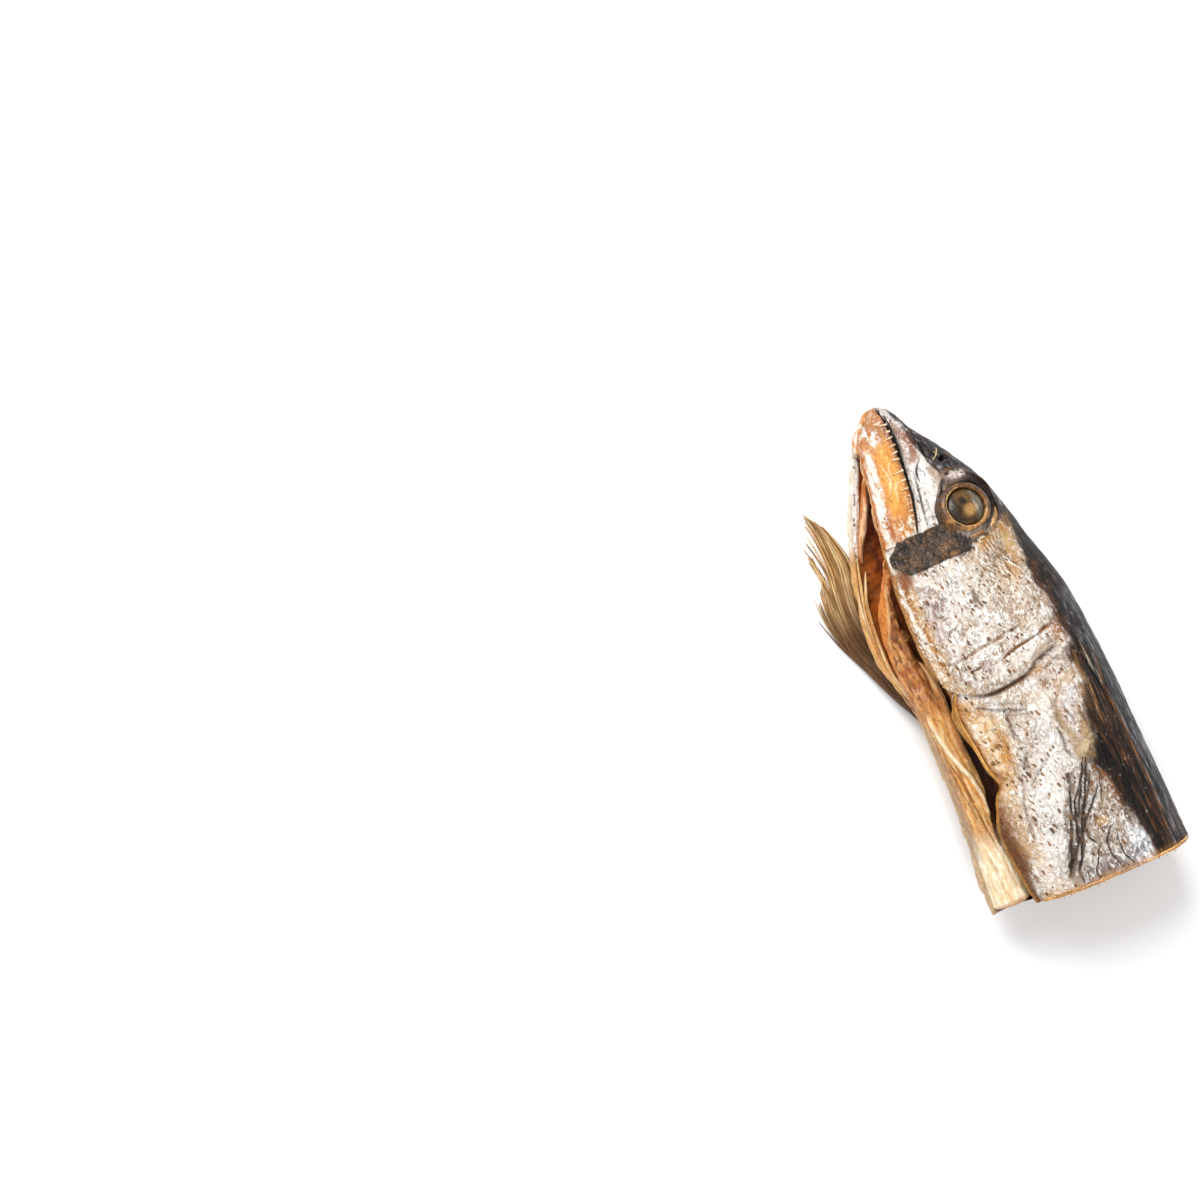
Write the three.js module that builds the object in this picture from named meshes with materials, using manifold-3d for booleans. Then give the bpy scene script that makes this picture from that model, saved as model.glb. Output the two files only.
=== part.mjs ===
// Dried salted fish: the head and shoulders of a mackerel-like fish, cut square across the body, split along the
// belly and throat, salted and dried. It lies on its right flank, pressed flat where it rests, with the left flank up.
// Millimetres, +Z up, snout towards -X, back towards +Y, origin under the middle of the bounding box.
//
// Three measures place everything: the station is the distance from the cut face towards the snout, the height is
// measured across the fish towards its back, and the offset from its middle plane towards the upper flank.

import * as THREE from "three";
import { mergeVertices } from "three/addons/utils/BufferGeometryUtils.js";
import Module from "manifold-3d";

const wasm = await Module();
wasm.setup();

// Driving dimensions.
const LENGTH = 115; // cut face to snout tip
const REST_DEPTH = 12.4; // middle plane to the flat it rests on
const UPPER = 1; // the flank that is seen
const LOWER = -1; // the flank that it lies on

// The body's outline and thickness by station.
const backHeight = profile(
  [0, 22.6], [40, 22.2], [60, 21.1], [75, 17.6], [90, 13.8], [100, 8.6], [108, 3.3], [113.5, 0.4], [LENGTH, -1.6],
);
const widestHeight = profile([0, 6], [30, 5], [60, 3], [80, 2], [95, 0], [108, -2], [LENGTH, -2.8]);
const halfWidth = profile([0, 12.8], [20, 13.1], [45, 13.2], [60, 12.6], [75, 11], [88, 8.6], [100, 6.2], [108, 4.3], [113, 2.6], [LENGTH, 1]);
const backBoxiness = profile([0, 2.9], [40, 2.6], [60, 2.2], [LENGTH, 2]);
const BELLY_FULLNESS = 2.4; // how late the belly wall curls in below the widest height

// The rims of the split, upper and lower flank: where the skin ends, and how far from the middle plane.
const upperRimHeight = profile(
  [0, -14.3], [6, -15.2], [11.5, -15.7], [16.3, -15.9], [20.3, -14.9], [24, -13.7], [27.2, -11.6], [32, -13], [37, -13.6],
  [41, -14.3], [45, -14.8], [48, -13.8], [50.5, -13.4], [53, -14.4], [56, -15.1], [61, -15.7], [70.5, -15.5], [80, -14.5],
  [90, -13.1], [97, -11.5], [105, -10.1], [110, -8.1], [LENGTH, -4.2],
);
const upperRimOffset = profile([0, 6.6], [20, 7], [27, 7.8], [40, 7.6], [60, 8], [72, 7.4], [88, 5], [100, 3.6], [110, 2.1], [LENGTH, 0.5]);
const lowerRimHeight = profile(
  [0, -23.3], [5, -23.2], [14.5, -22.1], [29.5, -20.9], [39.5, -20.5], [44.5, -20.4], [49.5, -20.8], [54.5, -22], [59.5, -23.2],
  [63.5, -23.8], [69.5, -23.4], [75, -22.6], [85, -20.3], [90, -18.6], [97, -15.8], [103, -12.9], [106, -11.3], [110, -9.7],
  [112, -7.8], [LENGTH, -4.4],
);
const lowerRimOffset = profile([0, 2.2], [30, 3.4], [50, 5], [66, 6], [80, 5.4], [95, 3.8], [105, 2.8], [112, 1.6], [LENGTH, 0.5]);

// The hollow of belly, throat and mouth inside the rims.
const hollowHeight = profile([0, -3], [40, -3.5], [60, -4], [72, -4.5], [85, -6], [98, -7.8], [106, -8.4], [LENGTH, -6]);
const wallThickness = profile([0, 7.4], [40, 7.4], [55, 6.4], [70, 4.4], [90, 2.2], [LENGTH, 1.2]);
const rimThickness = profile([0, 1.8], [50, 1.6], [80, 1.4], [100, 1.2], [LENGTH, 0.8]);
const RIM_BEVEL = { upper: 5, lower: 14 }; // the wall is full this far inside each rim
const CHIN = { station: 109, blend: 5, bulge: 0.8 }; // the hollow has closed here, over this length
const LUMP = { station: 108, height: -9.7, offset: -0.8, radius: 1.5 }; // of flesh, on the chin

// The thick fleshy strip along the open belly, which runs on into the throat as the root of the tongue.
const stripHeight = profile([0, -18.9], [12, -18.7], [25, -17.9], [42, -17.5], [60, -18.7], [68, -18.5], [75, -16.9], [82, -14.4]);
const stripOffset = profile([0, 0.6], [20, 0], [45, -0.9], [60, -1.2], [68, -0.2], [75, 1.8], [82, 4.3]);
const stripHalfHeight = profile([0, 4.6], [6, 4.1], [18, 3.6], [45, 3.3], [60, 3.1], [68, 2.5], [76, 1.4], [82, 0.6]);
const stripHalfOffset = profile([0, 4.6], [12, 4.2], [30, 3.7], [50, 3.3], [62, 2.7], [76, 1.5], [82, 0.7]);
const STRIP_TIP = 82;

// The soft lobe between the strip and the shoulder.
const LOBE = { from: 30, to: 59, height: -15.5, offset: 1.4, halfHeight: 1.9, halfOffset: 1.7 };

// The gill cover: its free edge by height, and how far it stands above the shoulder behind it.
const gillEdgeStation = profile(
  [-15, 53.8], [-14, 51.6], [-12.6, 50.1], [-10.5, 48.7], [-8.7, 47.9], [-4.7, 47.5], [-1.8, 47.8], [1.2, 48.2], [3.9, 49.1],
  [6.1, 50.2], [10.1, 51.3], [14, 54],
);
const GILL = { lowest: -15, highest: 14, length: 26, lift: 0.95, sunk: 0.5, thickness: 2 };

// The slit of the mouth, the band of bone above it and the teeth that bridge it.
const mouthHeight = profile(
  [85.5, -6.2], [89, -5], [91.5, -4.2], [94, -3.5], [97, -3], [100, -2.5], [103, -2.1], [106, -1.6], [109, -1.4], [113, -1.4], [114.5, -2],
);
const MOUTH = { from: 86, to: 114.4, depth: 1.7, halfGap: 0.38 };
const LIP = { from: 86, to: 107, width: 5.4, lift: 0.55, thickness: 1.4 };
const TEETH = { count: 9, from: 110.7, pitch: 1.85, inset: 0.55, radius: 0.34, length: 1.7 };

// The leathery strap of dark skin from the eye down to the throat.
const STRAP = { from: 77.8, to: 85.7, top: 1.6, bottom: -13.3, rounding: 1.8, lift: 0.35, thickness: 1.2 };

// The eyes, a raised ring round a sunken lens, and the nostrils in front of them.
const EYE = { station: 87.3, height: 6.3, lean: 0.3, toe: 0.2, ring: 5.2, crest: 1.4, lens: 3.9, sunk: 0.7, dome: 0.4, root: 4 };
const NOSTRILS = [{ station: 98.7, height: 6.3, length: 0.5, width: 0.75 }, { station: 95.3, height: 5.6, length: 0.4, width: 0.55 }];
const NOSTRIL_DEPTH = 1.1;

// The lines in the skin as [station, height]: the creases sink in, those of the gill cover from its raised face, and
// the folds of the upper flank's own fin stand up.
const GILL_CREASES = [
  [[55.6, 12.6], [54.9, 8.6], [54.4, 3.9], [53.8, 0.9], [52.8, -1.8]],
  [[58.7, 5.8], [57.9, 2.8], [57.4, -1], [57, -4.7], [56.1, -8.3], [56.2, -11.2], [56.9, -12.6]],
];
const SKIN_CREASES = [
  [[41.7, -0.7], [42.2, -3.9], [43.2, -6.8], [44.6, -9], [45.6, -10.9]],
  [[98, -1.1], [92.2, -2.3], [86, -3.4]],
];
const FOLDS = [
  [[26.9, 6.6], [22.4, 4.5], [16.4, 2], [11.7, -0.5], [7.4, -2.4], [2.5, -5.3], [-1.5, -7.6]],
  [[24, 1.1], [18, -0.9], [12.4, -2.9], [7.3, -4.5], [2.9, -6.5], [-1.5, -8.3]],
  [[20, 6.6], [14.7, 2.9], [11.6, 1.2], [7.5, 0.2]],
  [[10.5, 6.5], [6.8, 3.8], [3.4, 3.7], [-1.5, 3.8]],
];
const GILL_CREASE = { halfWidth: 0.42, depth: 0.55, lift: 0.45 };
const SKIN_CREASE = { halfWidth: 0.42, depth: 0.5, lift: 0 };
const FOLD = { halfWidth: 0.75, depth: 0.55, lift: 0 };

// The lower flank's fin, bent forwards under the throat. Its edges are heights by station; tips and curl go by the
// share across the fan, from its upper edge (0) to its lower edge (1).
const finUpperEdge = profile([46, -17.5], [58, -20], [70, -21.6], [80, -20.2], [85, -19.4], [90, -20.1], [95, -21.4], [100, -24.4]);
const finLowerEdge = profile([46, -20.5], [60, -26.5], [70, -30.2], [75, -30.8], [81, -30.2], [85, -29.3], [90, -28.2], [100, -26.4]);
const finTipStation = profile([0, 96], [0.25, 98], [0.5, 99.8], [0.62, 93.8], [0.74, 90], [0.85, 83.8], [1, 80.1]);
const finTipCurl = profile([0, -0.5], [0.5, 0], [0.56, -1], [0.62, -3], [0.74, -1.2], [0.85, 0.3], [1, -1.3]);
const finOffset = profile([46, -7], [54, -9.4], [66, -11.2], [98, -11.5]);
const FIN = { rays: 11, root: 46, webTo: 0.6, halfWidth: 0.62, halfThickness: 0.42, webThickness: 0.3 };

// The backbone in the cut face.
const BONE = { height: 7.5, radius: 3, stands: 0.5, dimple: 1.4, depth: 5 };

// How finely the shapes are divided.
const BODY_STATIONS = 38;
const BODY_CROWDING = 1.2; // above 1, stations crowd towards the snout
const FLANK_STEPS = 13;
const HOLLOW_STEPS = 7;
const STRIP_STATIONS = 26;
const STRIP_SIDES = 10;
const PATCH_STEPS = 8;
const SEAM_STEPS = 6;
const EYE_SIDES = 16;

// A smooth curve through [station, value] points, which never swings past them.
function profile(...points) {
  const steepness = (i) => (points[i + 1][1] - points[i][1]) / (points[i + 1][0] - points[i][0]);
  const last = points.length - 1;
  const slopes = points.map((_, i) => {
    if (i === 0) return steepness(0);
    if (i === last) return steepness(last - 1);
    const before = steepness(i - 1);
    const after = steepness(i);
    return before * after > 0 ? (2 * before * after) / (before + after) : 0;
  });
  return (x) => {
    const at = THREE.MathUtils.clamp(x, points[0][0], points[last][0]);
    let i = 0;
    while (i < last - 1 && at > points[i + 1][0]) i += 1;
    const span = points[i + 1][0] - points[i][0];
    const t = (at - points[i][0]) / span;
    const keep = 2 * t ** 3 - 3 * t ** 2 + 1;
    const bend = span * ((t ** 3 - 2 * t ** 2 + t) * slopes[i] + (t ** 3 - t ** 2) * slopes[i + 1]);
    return keep * points[i][1] + (1 - keep) * points[i + 1][1] + bend;
  };
}

// The point at a station, height and offset in the part's own axes.
function place(station, height, offset) {
  return [-station, height, offset];
}

const rimHeight = (station, side) => (side === UPPER ? upperRimHeight(station) : lowerRimHeight(station));
const rimOffset = (station, side) => (side === UPPER ? upperRimOffset(station) : lowerRimOffset(station));

// How far the skin of a flank lies from the middle plane.
function flankOffset(station, height, side) {
  const widest = widestHeight(station);
  const half = halfWidth(station);
  if (height >= widest) {
    const share = Math.min((height - widest) / (backHeight(station) - widest), 1);
    const power = backBoxiness(station);
    return half * (1 - share ** power) ** (1 / power);
  }
  const share = Math.min((widest - height) / (widest - rimHeight(station, side)), 1);
  return half - (half - rimOffset(station, side)) * share ** BELLY_FULLNESS;
}

// A point of the skin's outline, from the back (0) past the widest height (0.5) to the rim (1).
function flankPoint(station, share, side) {
  const widest = widestHeight(station);
  if (share < 0.5) {
    const turn = share * Math.PI;
    const power = 2 / backBoxiness(station);
    const rise = (backHeight(station) - widest) * Math.cos(turn) ** power;
    return [widest + rise, side * halfWidth(station) * Math.sin(turn) ** power];
  }
  const height = widest + (rimHeight(station, side) - widest) * (2 * share - 1);
  return [height, side * flankOffset(station, height, side)];
}

// A point of the hollow's wall, from the rim (0) to the innermost line (1).
function hollowPoint(station, share, side) {
  const rim = rimHeight(station, side);
  const turn = (share * Math.PI) / 2;
  const height = rim + (hollowHeight(station) - rim) * Math.sin(turn);
  const thin = rimThickness(station);
  const bevel = side === UPPER ? RIM_BEVEL.upper : RIM_BEVEL.lower;
  const thickening = THREE.MathUtils.smoothstep(height, rim, rim + bevel);
  const wall = thin + (wallThickness(station) - thin) * thickening;
  return [height, side * Math.max(flankOffset(station, height, side) - wall, 0.2) * Math.cos(turn) ** 0.8];
}

// The body's closed outline at a station, shaped like a C that opens towards the belly.
function bodyOutline(station) {
  const points = [];
  for (let i = 0; i <= FLANK_STEPS; i += 1) points.push(flankPoint(station, i / FLANK_STEPS, UPPER));
  const inside = [];
  for (let i = 0; i <= HOLLOW_STEPS; i += 1) inside.push(hollowPoint(station, i / HOLLOW_STEPS, UPPER));
  for (let i = HOLLOW_STEPS - 1; i >= 0; i -= 1) inside.push(hollowPoint(station, i / HOLLOW_STEPS, LOWER));
  const open = THREE.MathUtils.smoothstep(CHIN.station - station, 0, CHIN.blend);
  const [from, to] = [flankPoint(station, 1, UPPER), flankPoint(station, 1, LOWER)];
  inside.forEach(([height, offset], i) => {
    const share = (i + 1) / (inside.length + 1);
    const shut = from[0] + (to[0] - from[0]) * share - CHIN.bulge * Math.sin(Math.PI * share);
    const shutOffset = from[1] + (to[1] - from[1]) * share;
    points.push([shut + (height - shut) * open, shutOffset + (offset - shutOffset) * open]);
  });
  for (let i = FLANK_STEPS; i >= 1; i -= 1) points.push(flankPoint(station, i / FLANK_STEPS, LOWER));
  return points;
}

// A closed mesh through rings of as many points each. A lid is the list of triangles that fills the first or last ring.
function shell(rings, firstLid, lastLid) {
  const around = rings[0].length;
  const index = [];
  for (let i = 0; i < rings.length - 1; i += 1) {
    for (let j = 0; j < around; j += 1) {
      const a = i * around + j;
      const b = i * around + ((j + 1) % around);
      index.push(a, b, b + around, a, b + around, a + around);
    }
  }
  const top = (rings.length - 1) * around;
  for (const [a, b, c] of firstLid) index.push(a, c, b);
  for (const [a, b, c] of lastLid) index.push(top + a, top + b, top + c);
  return surface(rings.flat(2), index);
}

// The triangles that fill an outline of [height, offset] points, in the outline's own order.
function lidOf(outline) {
  const flat = outline.map(([height, offset]) => new THREE.Vector2(height, offset));
  const triangles = THREE.ShapeUtils.triangulateShape(flat, []);
  return THREE.ShapeUtils.area(flat) > 0 ? triangles : triangles.map(([a, b, c]) => [a, c, b]);
}

function loft(stations, outlineAt) {
  const outlines = stations.map(outlineAt);
  const rings = outlines.map((outline, i) => outline.map(([height, offset]) => place(stations[i], height, offset)));
  return shell(rings, lidOf(outlines[0]), lidOf(outlines.at(-1)));
}

// A closed mesh between an outer and an inner sheet over the same grid of stations and heights.
function slab(rows, columns, outer, inner) {
  const positions = [];
  for (const sheet of [outer, inner]) {
    for (let i = 0; i <= rows; i += 1) {
      for (let j = 0; j <= columns; j += 1) positions.push(...sheet(i / rows, j / columns));
    }
  }
  const index = [];
  const at = (sheet, i, j) => (sheet * (rows + 1) + i) * (columns + 1) + j;
  const quad = (a, b, c, d) => index.push(a, b, c, a, c, d);
  for (let i = 0; i < rows; i += 1) {
    for (let j = 0; j < columns; j += 1) {
      quad(at(0, i, j), at(0, i + 1, j), at(0, i + 1, j + 1), at(0, i, j + 1));
      quad(at(1, i, j), at(1, i, j + 1), at(1, i + 1, j + 1), at(1, i + 1, j));
    }
    quad(at(0, i, 0), at(1, i, 0), at(1, i + 1, 0), at(0, i + 1, 0));
    quad(at(0, i, columns), at(0, i + 1, columns), at(1, i + 1, columns), at(1, i, columns));
  }
  for (let j = 0; j < columns; j += 1) {
    quad(at(0, 0, j), at(0, 0, j + 1), at(1, 0, j + 1), at(1, 0, j));
    quad(at(0, rows, j), at(1, rows, j), at(1, rows, j + 1), at(0, rows, j + 1));
  }
  return surface(positions, index);
}

function surface(positions, index) {
  const geometry = new THREE.BufferGeometry();
  geometry.setAttribute("position", new THREE.Float32BufferAttribute(positions, 3));
  geometry.setIndex(index);
  return geometry;
}

// A geometry as a solid that can be joined and cut, turned the right way out.
function solid(geometry) {
  const bare = geometry.clone();
  bare.deleteAttribute("normal");
  bare.deleteAttribute("uv");
  const merged = mergeVertices(bare, 1e-4);
  const triVerts = new Uint32Array(merged.index.array);
  const make = () => new wasm.Manifold(
    new wasm.Mesh({ numProp: 3, vertProperties: new Float32Array(merged.attributes.position.array), triVerts }),
  );
  const made = make();
  if (made.volume() > 0) return made;
  for (let i = 0; i < triVerts.length; i += 3) [triVerts[i + 1], triVerts[i + 2]] = [triVerts[i + 2], triVerts[i + 1]];
  return make();
}

function geometryOf(manifold) {
  const mesh = manifold.getMesh();
  return surface(Array.from(mesh.vertProperties), Array.from(mesh.triVerts));
}

const steps = (from, to, count) => Array.from({ length: count + 1 }, (_, i) => from + ((to - from) * i) / count);

// A rod of oval outlines along the fish, each given by its middle and half sizes.
function rod(stations, sides, middleHeight, middleOffset, halfHeight, halfOffset) {
  return loft(stations, (station) => Array.from({ length: sides }, (_, i) => {
    const turn = (2 * Math.PI * i) / sides;
    return [
      middleHeight(station) + halfHeight(station) * Math.cos(turn),
      middleOffset(station) + halfOffset(station) * Math.sin(turn),
    ];
  }));
}

function body() {
  const stations = steps(0, 1, BODY_STATIONS).map((share) => LENGTH * (1 - (1 - share) ** BODY_CROWDING));
  return solid(loft(stations, bodyOutline));
}

function bellyStrip() {
  const stations = steps(0, STRIP_TIP, STRIP_STATIONS);
  return solid(rod(stations, STRIP_SIDES, stripHeight, stripOffset, stripHalfHeight, stripHalfOffset));
}

function throatLobe() {
  const swell = (station) => Math.sin((Math.PI * (station - LOBE.from)) / (LOBE.to - LOBE.from)) ** 0.5 + 0.05;
  const stations = steps(LOBE.from, LOBE.to, 12);
  return solid(rod(stations, 8, () => LOBE.height, () => LOBE.offset, (s) => LOBE.halfHeight * swell(s), (s) => LOBE.halfOffset * swell(s)));
}

// The gill cover lifts out of the cheek and ends in a free edge over the shoulder.
function gillCover(side) {
  const at = (along, up, lift) => {
    const height = GILL.lowest + (GILL.highest - GILL.lowest) * up;
    const station = gillEdgeStation(height) + GILL.length * along;
    const clear = THREE.MathUtils.clamp(height, rimHeight(station, UPPER) + 0.3, backHeight(station) - 2);
    return place(station, clear, side * (flankOffset(station, clear, UPPER) + lift));
  };
  const rise = (along, up) => {
    const fade = (1 - along) ** 1.5 * Math.min(1, 6 * (1 - up));
    return (GILL.lift + GILL.sunk) * fade - GILL.sunk;
  };
  return solid(slab(PATCH_STEPS, PATCH_STEPS, (i, j) => at(i, j, rise(i, j)), (i, j) => at(i, j, -GILL.thickness)));
}

// The band of bone above the mouth.
function lip(side) {
  const at = (along, up, lift) => {
    const station = LIP.from + (LIP.to - LIP.from) * along;
    const width = LIP.width * Math.sqrt(1 - along ** 2) + 0.6;
    const height = mouthHeight(station) + MOUTH.halfGap + width * up;
    return place(station, height, side * (flankOffset(station, height, UPPER) + lift));
  };
  const rise = (along, up) => LIP.lift * (1 - up ** 2) * (1 - along ** 4) - 0.12;
  return solid(slab(PATCH_STEPS, 4, (i, j) => at(i, j, rise(i, j)), (i, j) => at(i, j, -LIP.thickness)));
}

// The blade that cuts the slit of the mouth.
function mouthCut(side) {
  const stations = steps(MOUTH.from, MOUTH.to, 16);
  return solid(loft(stations, (station) => {
    const height = mouthHeight(station);
    const skin = flankOffset(station, height, UPPER);
    const [outside, inside] = [skin + 1.5, Math.max(skin - MOUTH.depth, 0.1)];
    return [
      [height - MOUTH.halfGap, side * outside],
      [height + MOUTH.halfGap, side * outside],
      [height + MOUTH.halfGap * 0.4, side * inside],
      [height - MOUTH.halfGap * 0.4, side * inside],
    ];
  }));
}

function eye(side) {
  const { ring, crest, lens, sunk, dome, root } = EYE;
  const bed = crest - sunk - dome;
  const outline = [
    [0, -root], [ring * 0.8, -root], [ring + 0.4, -0.6], [ring + 0.1, crest * 0.55], [ring - 0.4, crest],
    [ring - 0.8, crest], [lens, bed - 0.3], [lens * 0.7, bed + dome * 0.5], [lens * 0.35, bed + dome * 0.9], [0, bed + dome],
  ];
  const skin = flankOffset(EYE.station, EYE.height, UPPER);
  const geometry = new THREE.LatheGeometry(outline.map(([x, y]) => new THREE.Vector2(x, y)), EYE_SIDES)
    .rotateX(Math.PI / 2)
    .rotateX(-EYE.lean)
    .rotateY(-EYE.toe);
  if (side === LOWER) geometry.scale(1, 1, -1);
  return solid(geometry.translate(...place(EYE.station, EYE.height, side * skin)));
}

function bead(radius, station, height, offset) {
  return new THREE.SphereGeometry(1, 8, 6).scale(...radius).translate(...place(station, height, offset));
}

const nostril = ({ station, height, length, width }, side) => solid(
  bead([length, width, NOSTRIL_DEPTH], station, height, side * flankOffset(station, height, UPPER)),
);

const chinLump = () => solid(bead([LUMP.radius, LUMP.radius * 0.8, LUMP.radius * 0.8], LUMP.station, LUMP.height, LUMP.offset));

function tooth(number, side) {
  const station = TEETH.from - TEETH.pitch * number;
  const height = mouthHeight(station);
  const offset = side * (flankOffset(station, height, UPPER) - TEETH.inset);
  return solid(new THREE.ConeGeometry(TEETH.radius, TEETH.length, 4).rotateX(Math.PI).translate(...place(station, height, offset)));
}

// A strap of thicker skin with a rounded lower end.
function strap(side) {
  const at = (along, up, lift) => {
    const station = STRAP.from + (STRAP.to - STRAP.from) * along;
    const bottom = STRAP.bottom + STRAP.rounding * (2 * along - 1) ** 2;
    const height = bottom + (STRAP.top - bottom) * up;
    return place(station, height, side * (flankOffset(station, height, UPPER) + lift));
  };
  return solid(slab(3, 6, (i, j) => at(i, j, STRAP.lift), (i, j) => at(i, j, -STRAP.thickness)));
}

// A line in the skin, half above it and half below, that tapers at both ends.
function seam(points, { halfWidth: half, depth, lift: raised }, side) {
  const path = new THREE.CatmullRomCurve3(points.map(([station, height]) => new THREE.Vector3(station, height, 0)));
  const rings = steps(0, 1, SEAM_STEPS).map((share) => {
    const { x: station, y: height } = path.getPoint(share);
    const along = path.getTangent(share);
    const size = 0.15 + 0.85 * Math.sin(Math.PI * share) ** 0.6;
    const corner = (sideways, lift) => {
      const s = station - along.y * sideways * half * size;
      const h = height + along.x * sideways * half * size;
      return place(s, h, side * (flankOffset(s, h, UPPER) + raised + lift * depth * size));
    };
    return [corner(-1, 0), corner(0, 1), corner(1, 0), corner(0, -1)];
  });
  const lid = [[0, 1, 2], [0, 2, 3]];
  return solid(shell(rings, lid, lid));
}

const finHeight = (station, share) => finUpperEdge(station) + (finLowerEdge(station) - finUpperEdge(station)) * share;

// A flat ray of the fin, whose end curls out of the fan.
function finRay(share) {
  const tip = finTipStation(share);
  const along = (station) => (station - FIN.root) / (tip - FIN.root);
  const height = (station) => finHeight(station, share) + finTipCurl(share) * Math.max(0, (along(station) - 0.7) / 0.3) ** 2;
  const taper = (station) => 1.05 - 0.75 * along(station) ** 3;
  const stations = steps(FIN.root, tip, 7);
  return solid(rod(stations, 4, height, finOffset, (s) => FIN.halfWidth * taper(s), (s) => FIN.halfThickness * taper(s)));
}

// The web that joins the rays near their root.
function finWeb() {
  const at = (along, share, lift) => {
    const station = FIN.root + (finTipStation(share) - FIN.root) * FIN.webTo * along;
    return place(station, finHeight(station, share), finOffset(station) + lift);
  };
  return solid(slab(5, 5, (i, j) => at(i, j, FIN.webThickness / 2), (i, j) => at(i, j, -FIN.webThickness / 2)));
}

function backbone() {
  const { radius, stands, dimple, depth } = BONE;
  const outline = [[0, -depth], [radius, -depth], [radius, stands * 0.4], [radius * 0.8, stands], [radius * 0.5, stands], [0, stands - dimple]];
  const geometry = new THREE.LatheGeometry(outline.map(([x, y]) => new THREE.Vector2(x, y)), 16).rotateZ(-Math.PI / 2);
  return solid(geometry.translate(...place(0, BONE.height, 0)));
}

function box(sizeX, sizeY, sizeZ, x, y, z) {
  return solid(new THREE.BoxGeometry(sizeX, sizeY, sizeZ).translate(x, y, z));
}

function driedFish() {
  const sides = [UPPER, LOWER];
  const join = (whole, pieces) => pieces.reduce((sum, piece) => sum.add(piece), whole);
  const cut = (whole, pieces) => pieces.reduce((rest, piece) => rest.subtract(piece), whole);
  let fish = join(body(), [bellyStrip(), throatLobe(), chinLump(), ...sides.map(gillCover), ...sides.map(lip), ...sides.map(strap)]);
  fish = cut(fish, sides.flatMap((side) => [
    mouthCut(side),
    ...NOSTRILS.map((one) => nostril(one, side)),
    ...GILL_CREASES.map((line) => seam(line, GILL_CREASE, side)),
    ...SKIN_CREASES.map((line) => seam(line, SKIN_CREASE, side)),
  ]));
  fish = join(fish, sides.flatMap((side) => [eye(side), ...Array.from({ length: TEETH.count }, (_, i) => tooth(i, side))]));
  fish = join(fish, FOLDS.map((line) => seam(line, FOLD, UPPER)));
  fish = join(fish, [finWeb(), ...steps(0, 1, FIN.rays - 1).map(finRay)]);
  const reach = 2 * LENGTH;
  fish = cut(fish, [box(reach, reach, reach, reach / 2, 0, 0)]);
  fish = join(fish, [backbone()]);
  return cut(fish, [box(2 * reach, reach, reach, 0, 0, -REST_DEPTH - reach / 2)]);
}

const geometry = geometryOf(driedFish());
geometry.computeBoundingBox();
const middle = geometry.boundingBox.getCenter(new THREE.Vector3());
geometry.translate(-middle.x, -middle.y, -geometry.boundingBox.min.z);
geometry.computeVertexNormals();

const driedSkin = new THREE.MeshStandardMaterial({ color: 0xa8998a, roughness: 0.55, metalness: 0 });
const fish = new THREE.Mesh(geometry, driedSkin);
fish.name = "dried_fish";

const part = new THREE.Group();
part.add(fish);

export default part;
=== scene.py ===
"""A dried, salted fish: head and shoulders, split along throat and belly, lying on its right flank.

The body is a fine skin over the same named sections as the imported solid. What is a layer on the real fish is
a piece of its own here: gill covers, jaw bones, the strap below the eye, eyes, the folded fin, the fleshy
strip along the belly, the throat's membranes, teeth, fin rays and the flesh of the cut face.

Measures are millimetres in the fish's own axes: the station runs from the cut face to the snout, the height
across the fish towards its back, and the offset from its middle plane, up through the flank that shows.
"""

import functools
import itertools
import math

import bpy
import numpy as np
from mathutils import Matrix, Vector


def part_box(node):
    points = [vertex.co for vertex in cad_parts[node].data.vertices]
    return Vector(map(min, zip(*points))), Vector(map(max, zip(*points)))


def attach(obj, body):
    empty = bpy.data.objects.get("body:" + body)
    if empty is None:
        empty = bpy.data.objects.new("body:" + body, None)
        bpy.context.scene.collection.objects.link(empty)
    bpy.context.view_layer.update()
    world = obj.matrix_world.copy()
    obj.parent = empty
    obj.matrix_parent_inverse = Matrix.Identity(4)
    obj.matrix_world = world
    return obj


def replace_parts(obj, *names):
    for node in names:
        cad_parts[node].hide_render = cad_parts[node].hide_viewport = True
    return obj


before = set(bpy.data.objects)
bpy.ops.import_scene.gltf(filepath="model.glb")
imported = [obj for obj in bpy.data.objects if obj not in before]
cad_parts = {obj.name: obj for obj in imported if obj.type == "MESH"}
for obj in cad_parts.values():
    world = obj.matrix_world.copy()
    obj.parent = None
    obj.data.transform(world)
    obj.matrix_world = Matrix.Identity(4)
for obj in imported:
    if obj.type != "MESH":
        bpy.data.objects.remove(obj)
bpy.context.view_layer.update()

NODE = "dried_fish"
ROOT = "root"
MM = 0.001
UPPER, LOWER = 1, -1

# --- Measures shared with the solid


def profile(*points):
    """A smooth curve through (place, value) points, which never swings past them."""
    at = np.array([point[0] for point in points], float)
    value = np.array([point[1] for point in points], float)
    rise = np.diff(value) / np.diff(at)
    slope = np.zeros_like(value)
    slope[0], slope[-1] = rise[0], rise[-1]
    turns = rise[:-1] * rise[1:] <= 0
    total = np.where(turns, 1, rise[:-1] + rise[1:])
    slope[1:-1] = np.where(turns, 0, 2 * rise[:-1] * rise[1:] / total)

    def curve(x):
        x = np.clip(np.asarray(x, float), at[0], at[-1])
        i = np.clip(np.searchsorted(at, x) - 1, 0, len(at) - 2)
        span = at[i + 1] - at[i]
        t = (x - at[i]) / span
        keep = 2 * t**3 - 3 * t**2 + 1
        bend = span * ((t**3 - 2 * t**2 + t) * slope[i] + (t**3 - t**2) * slope[i + 1])
        return keep * value[i] + (1 - keep) * value[i + 1] + bend

    return curve


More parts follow.
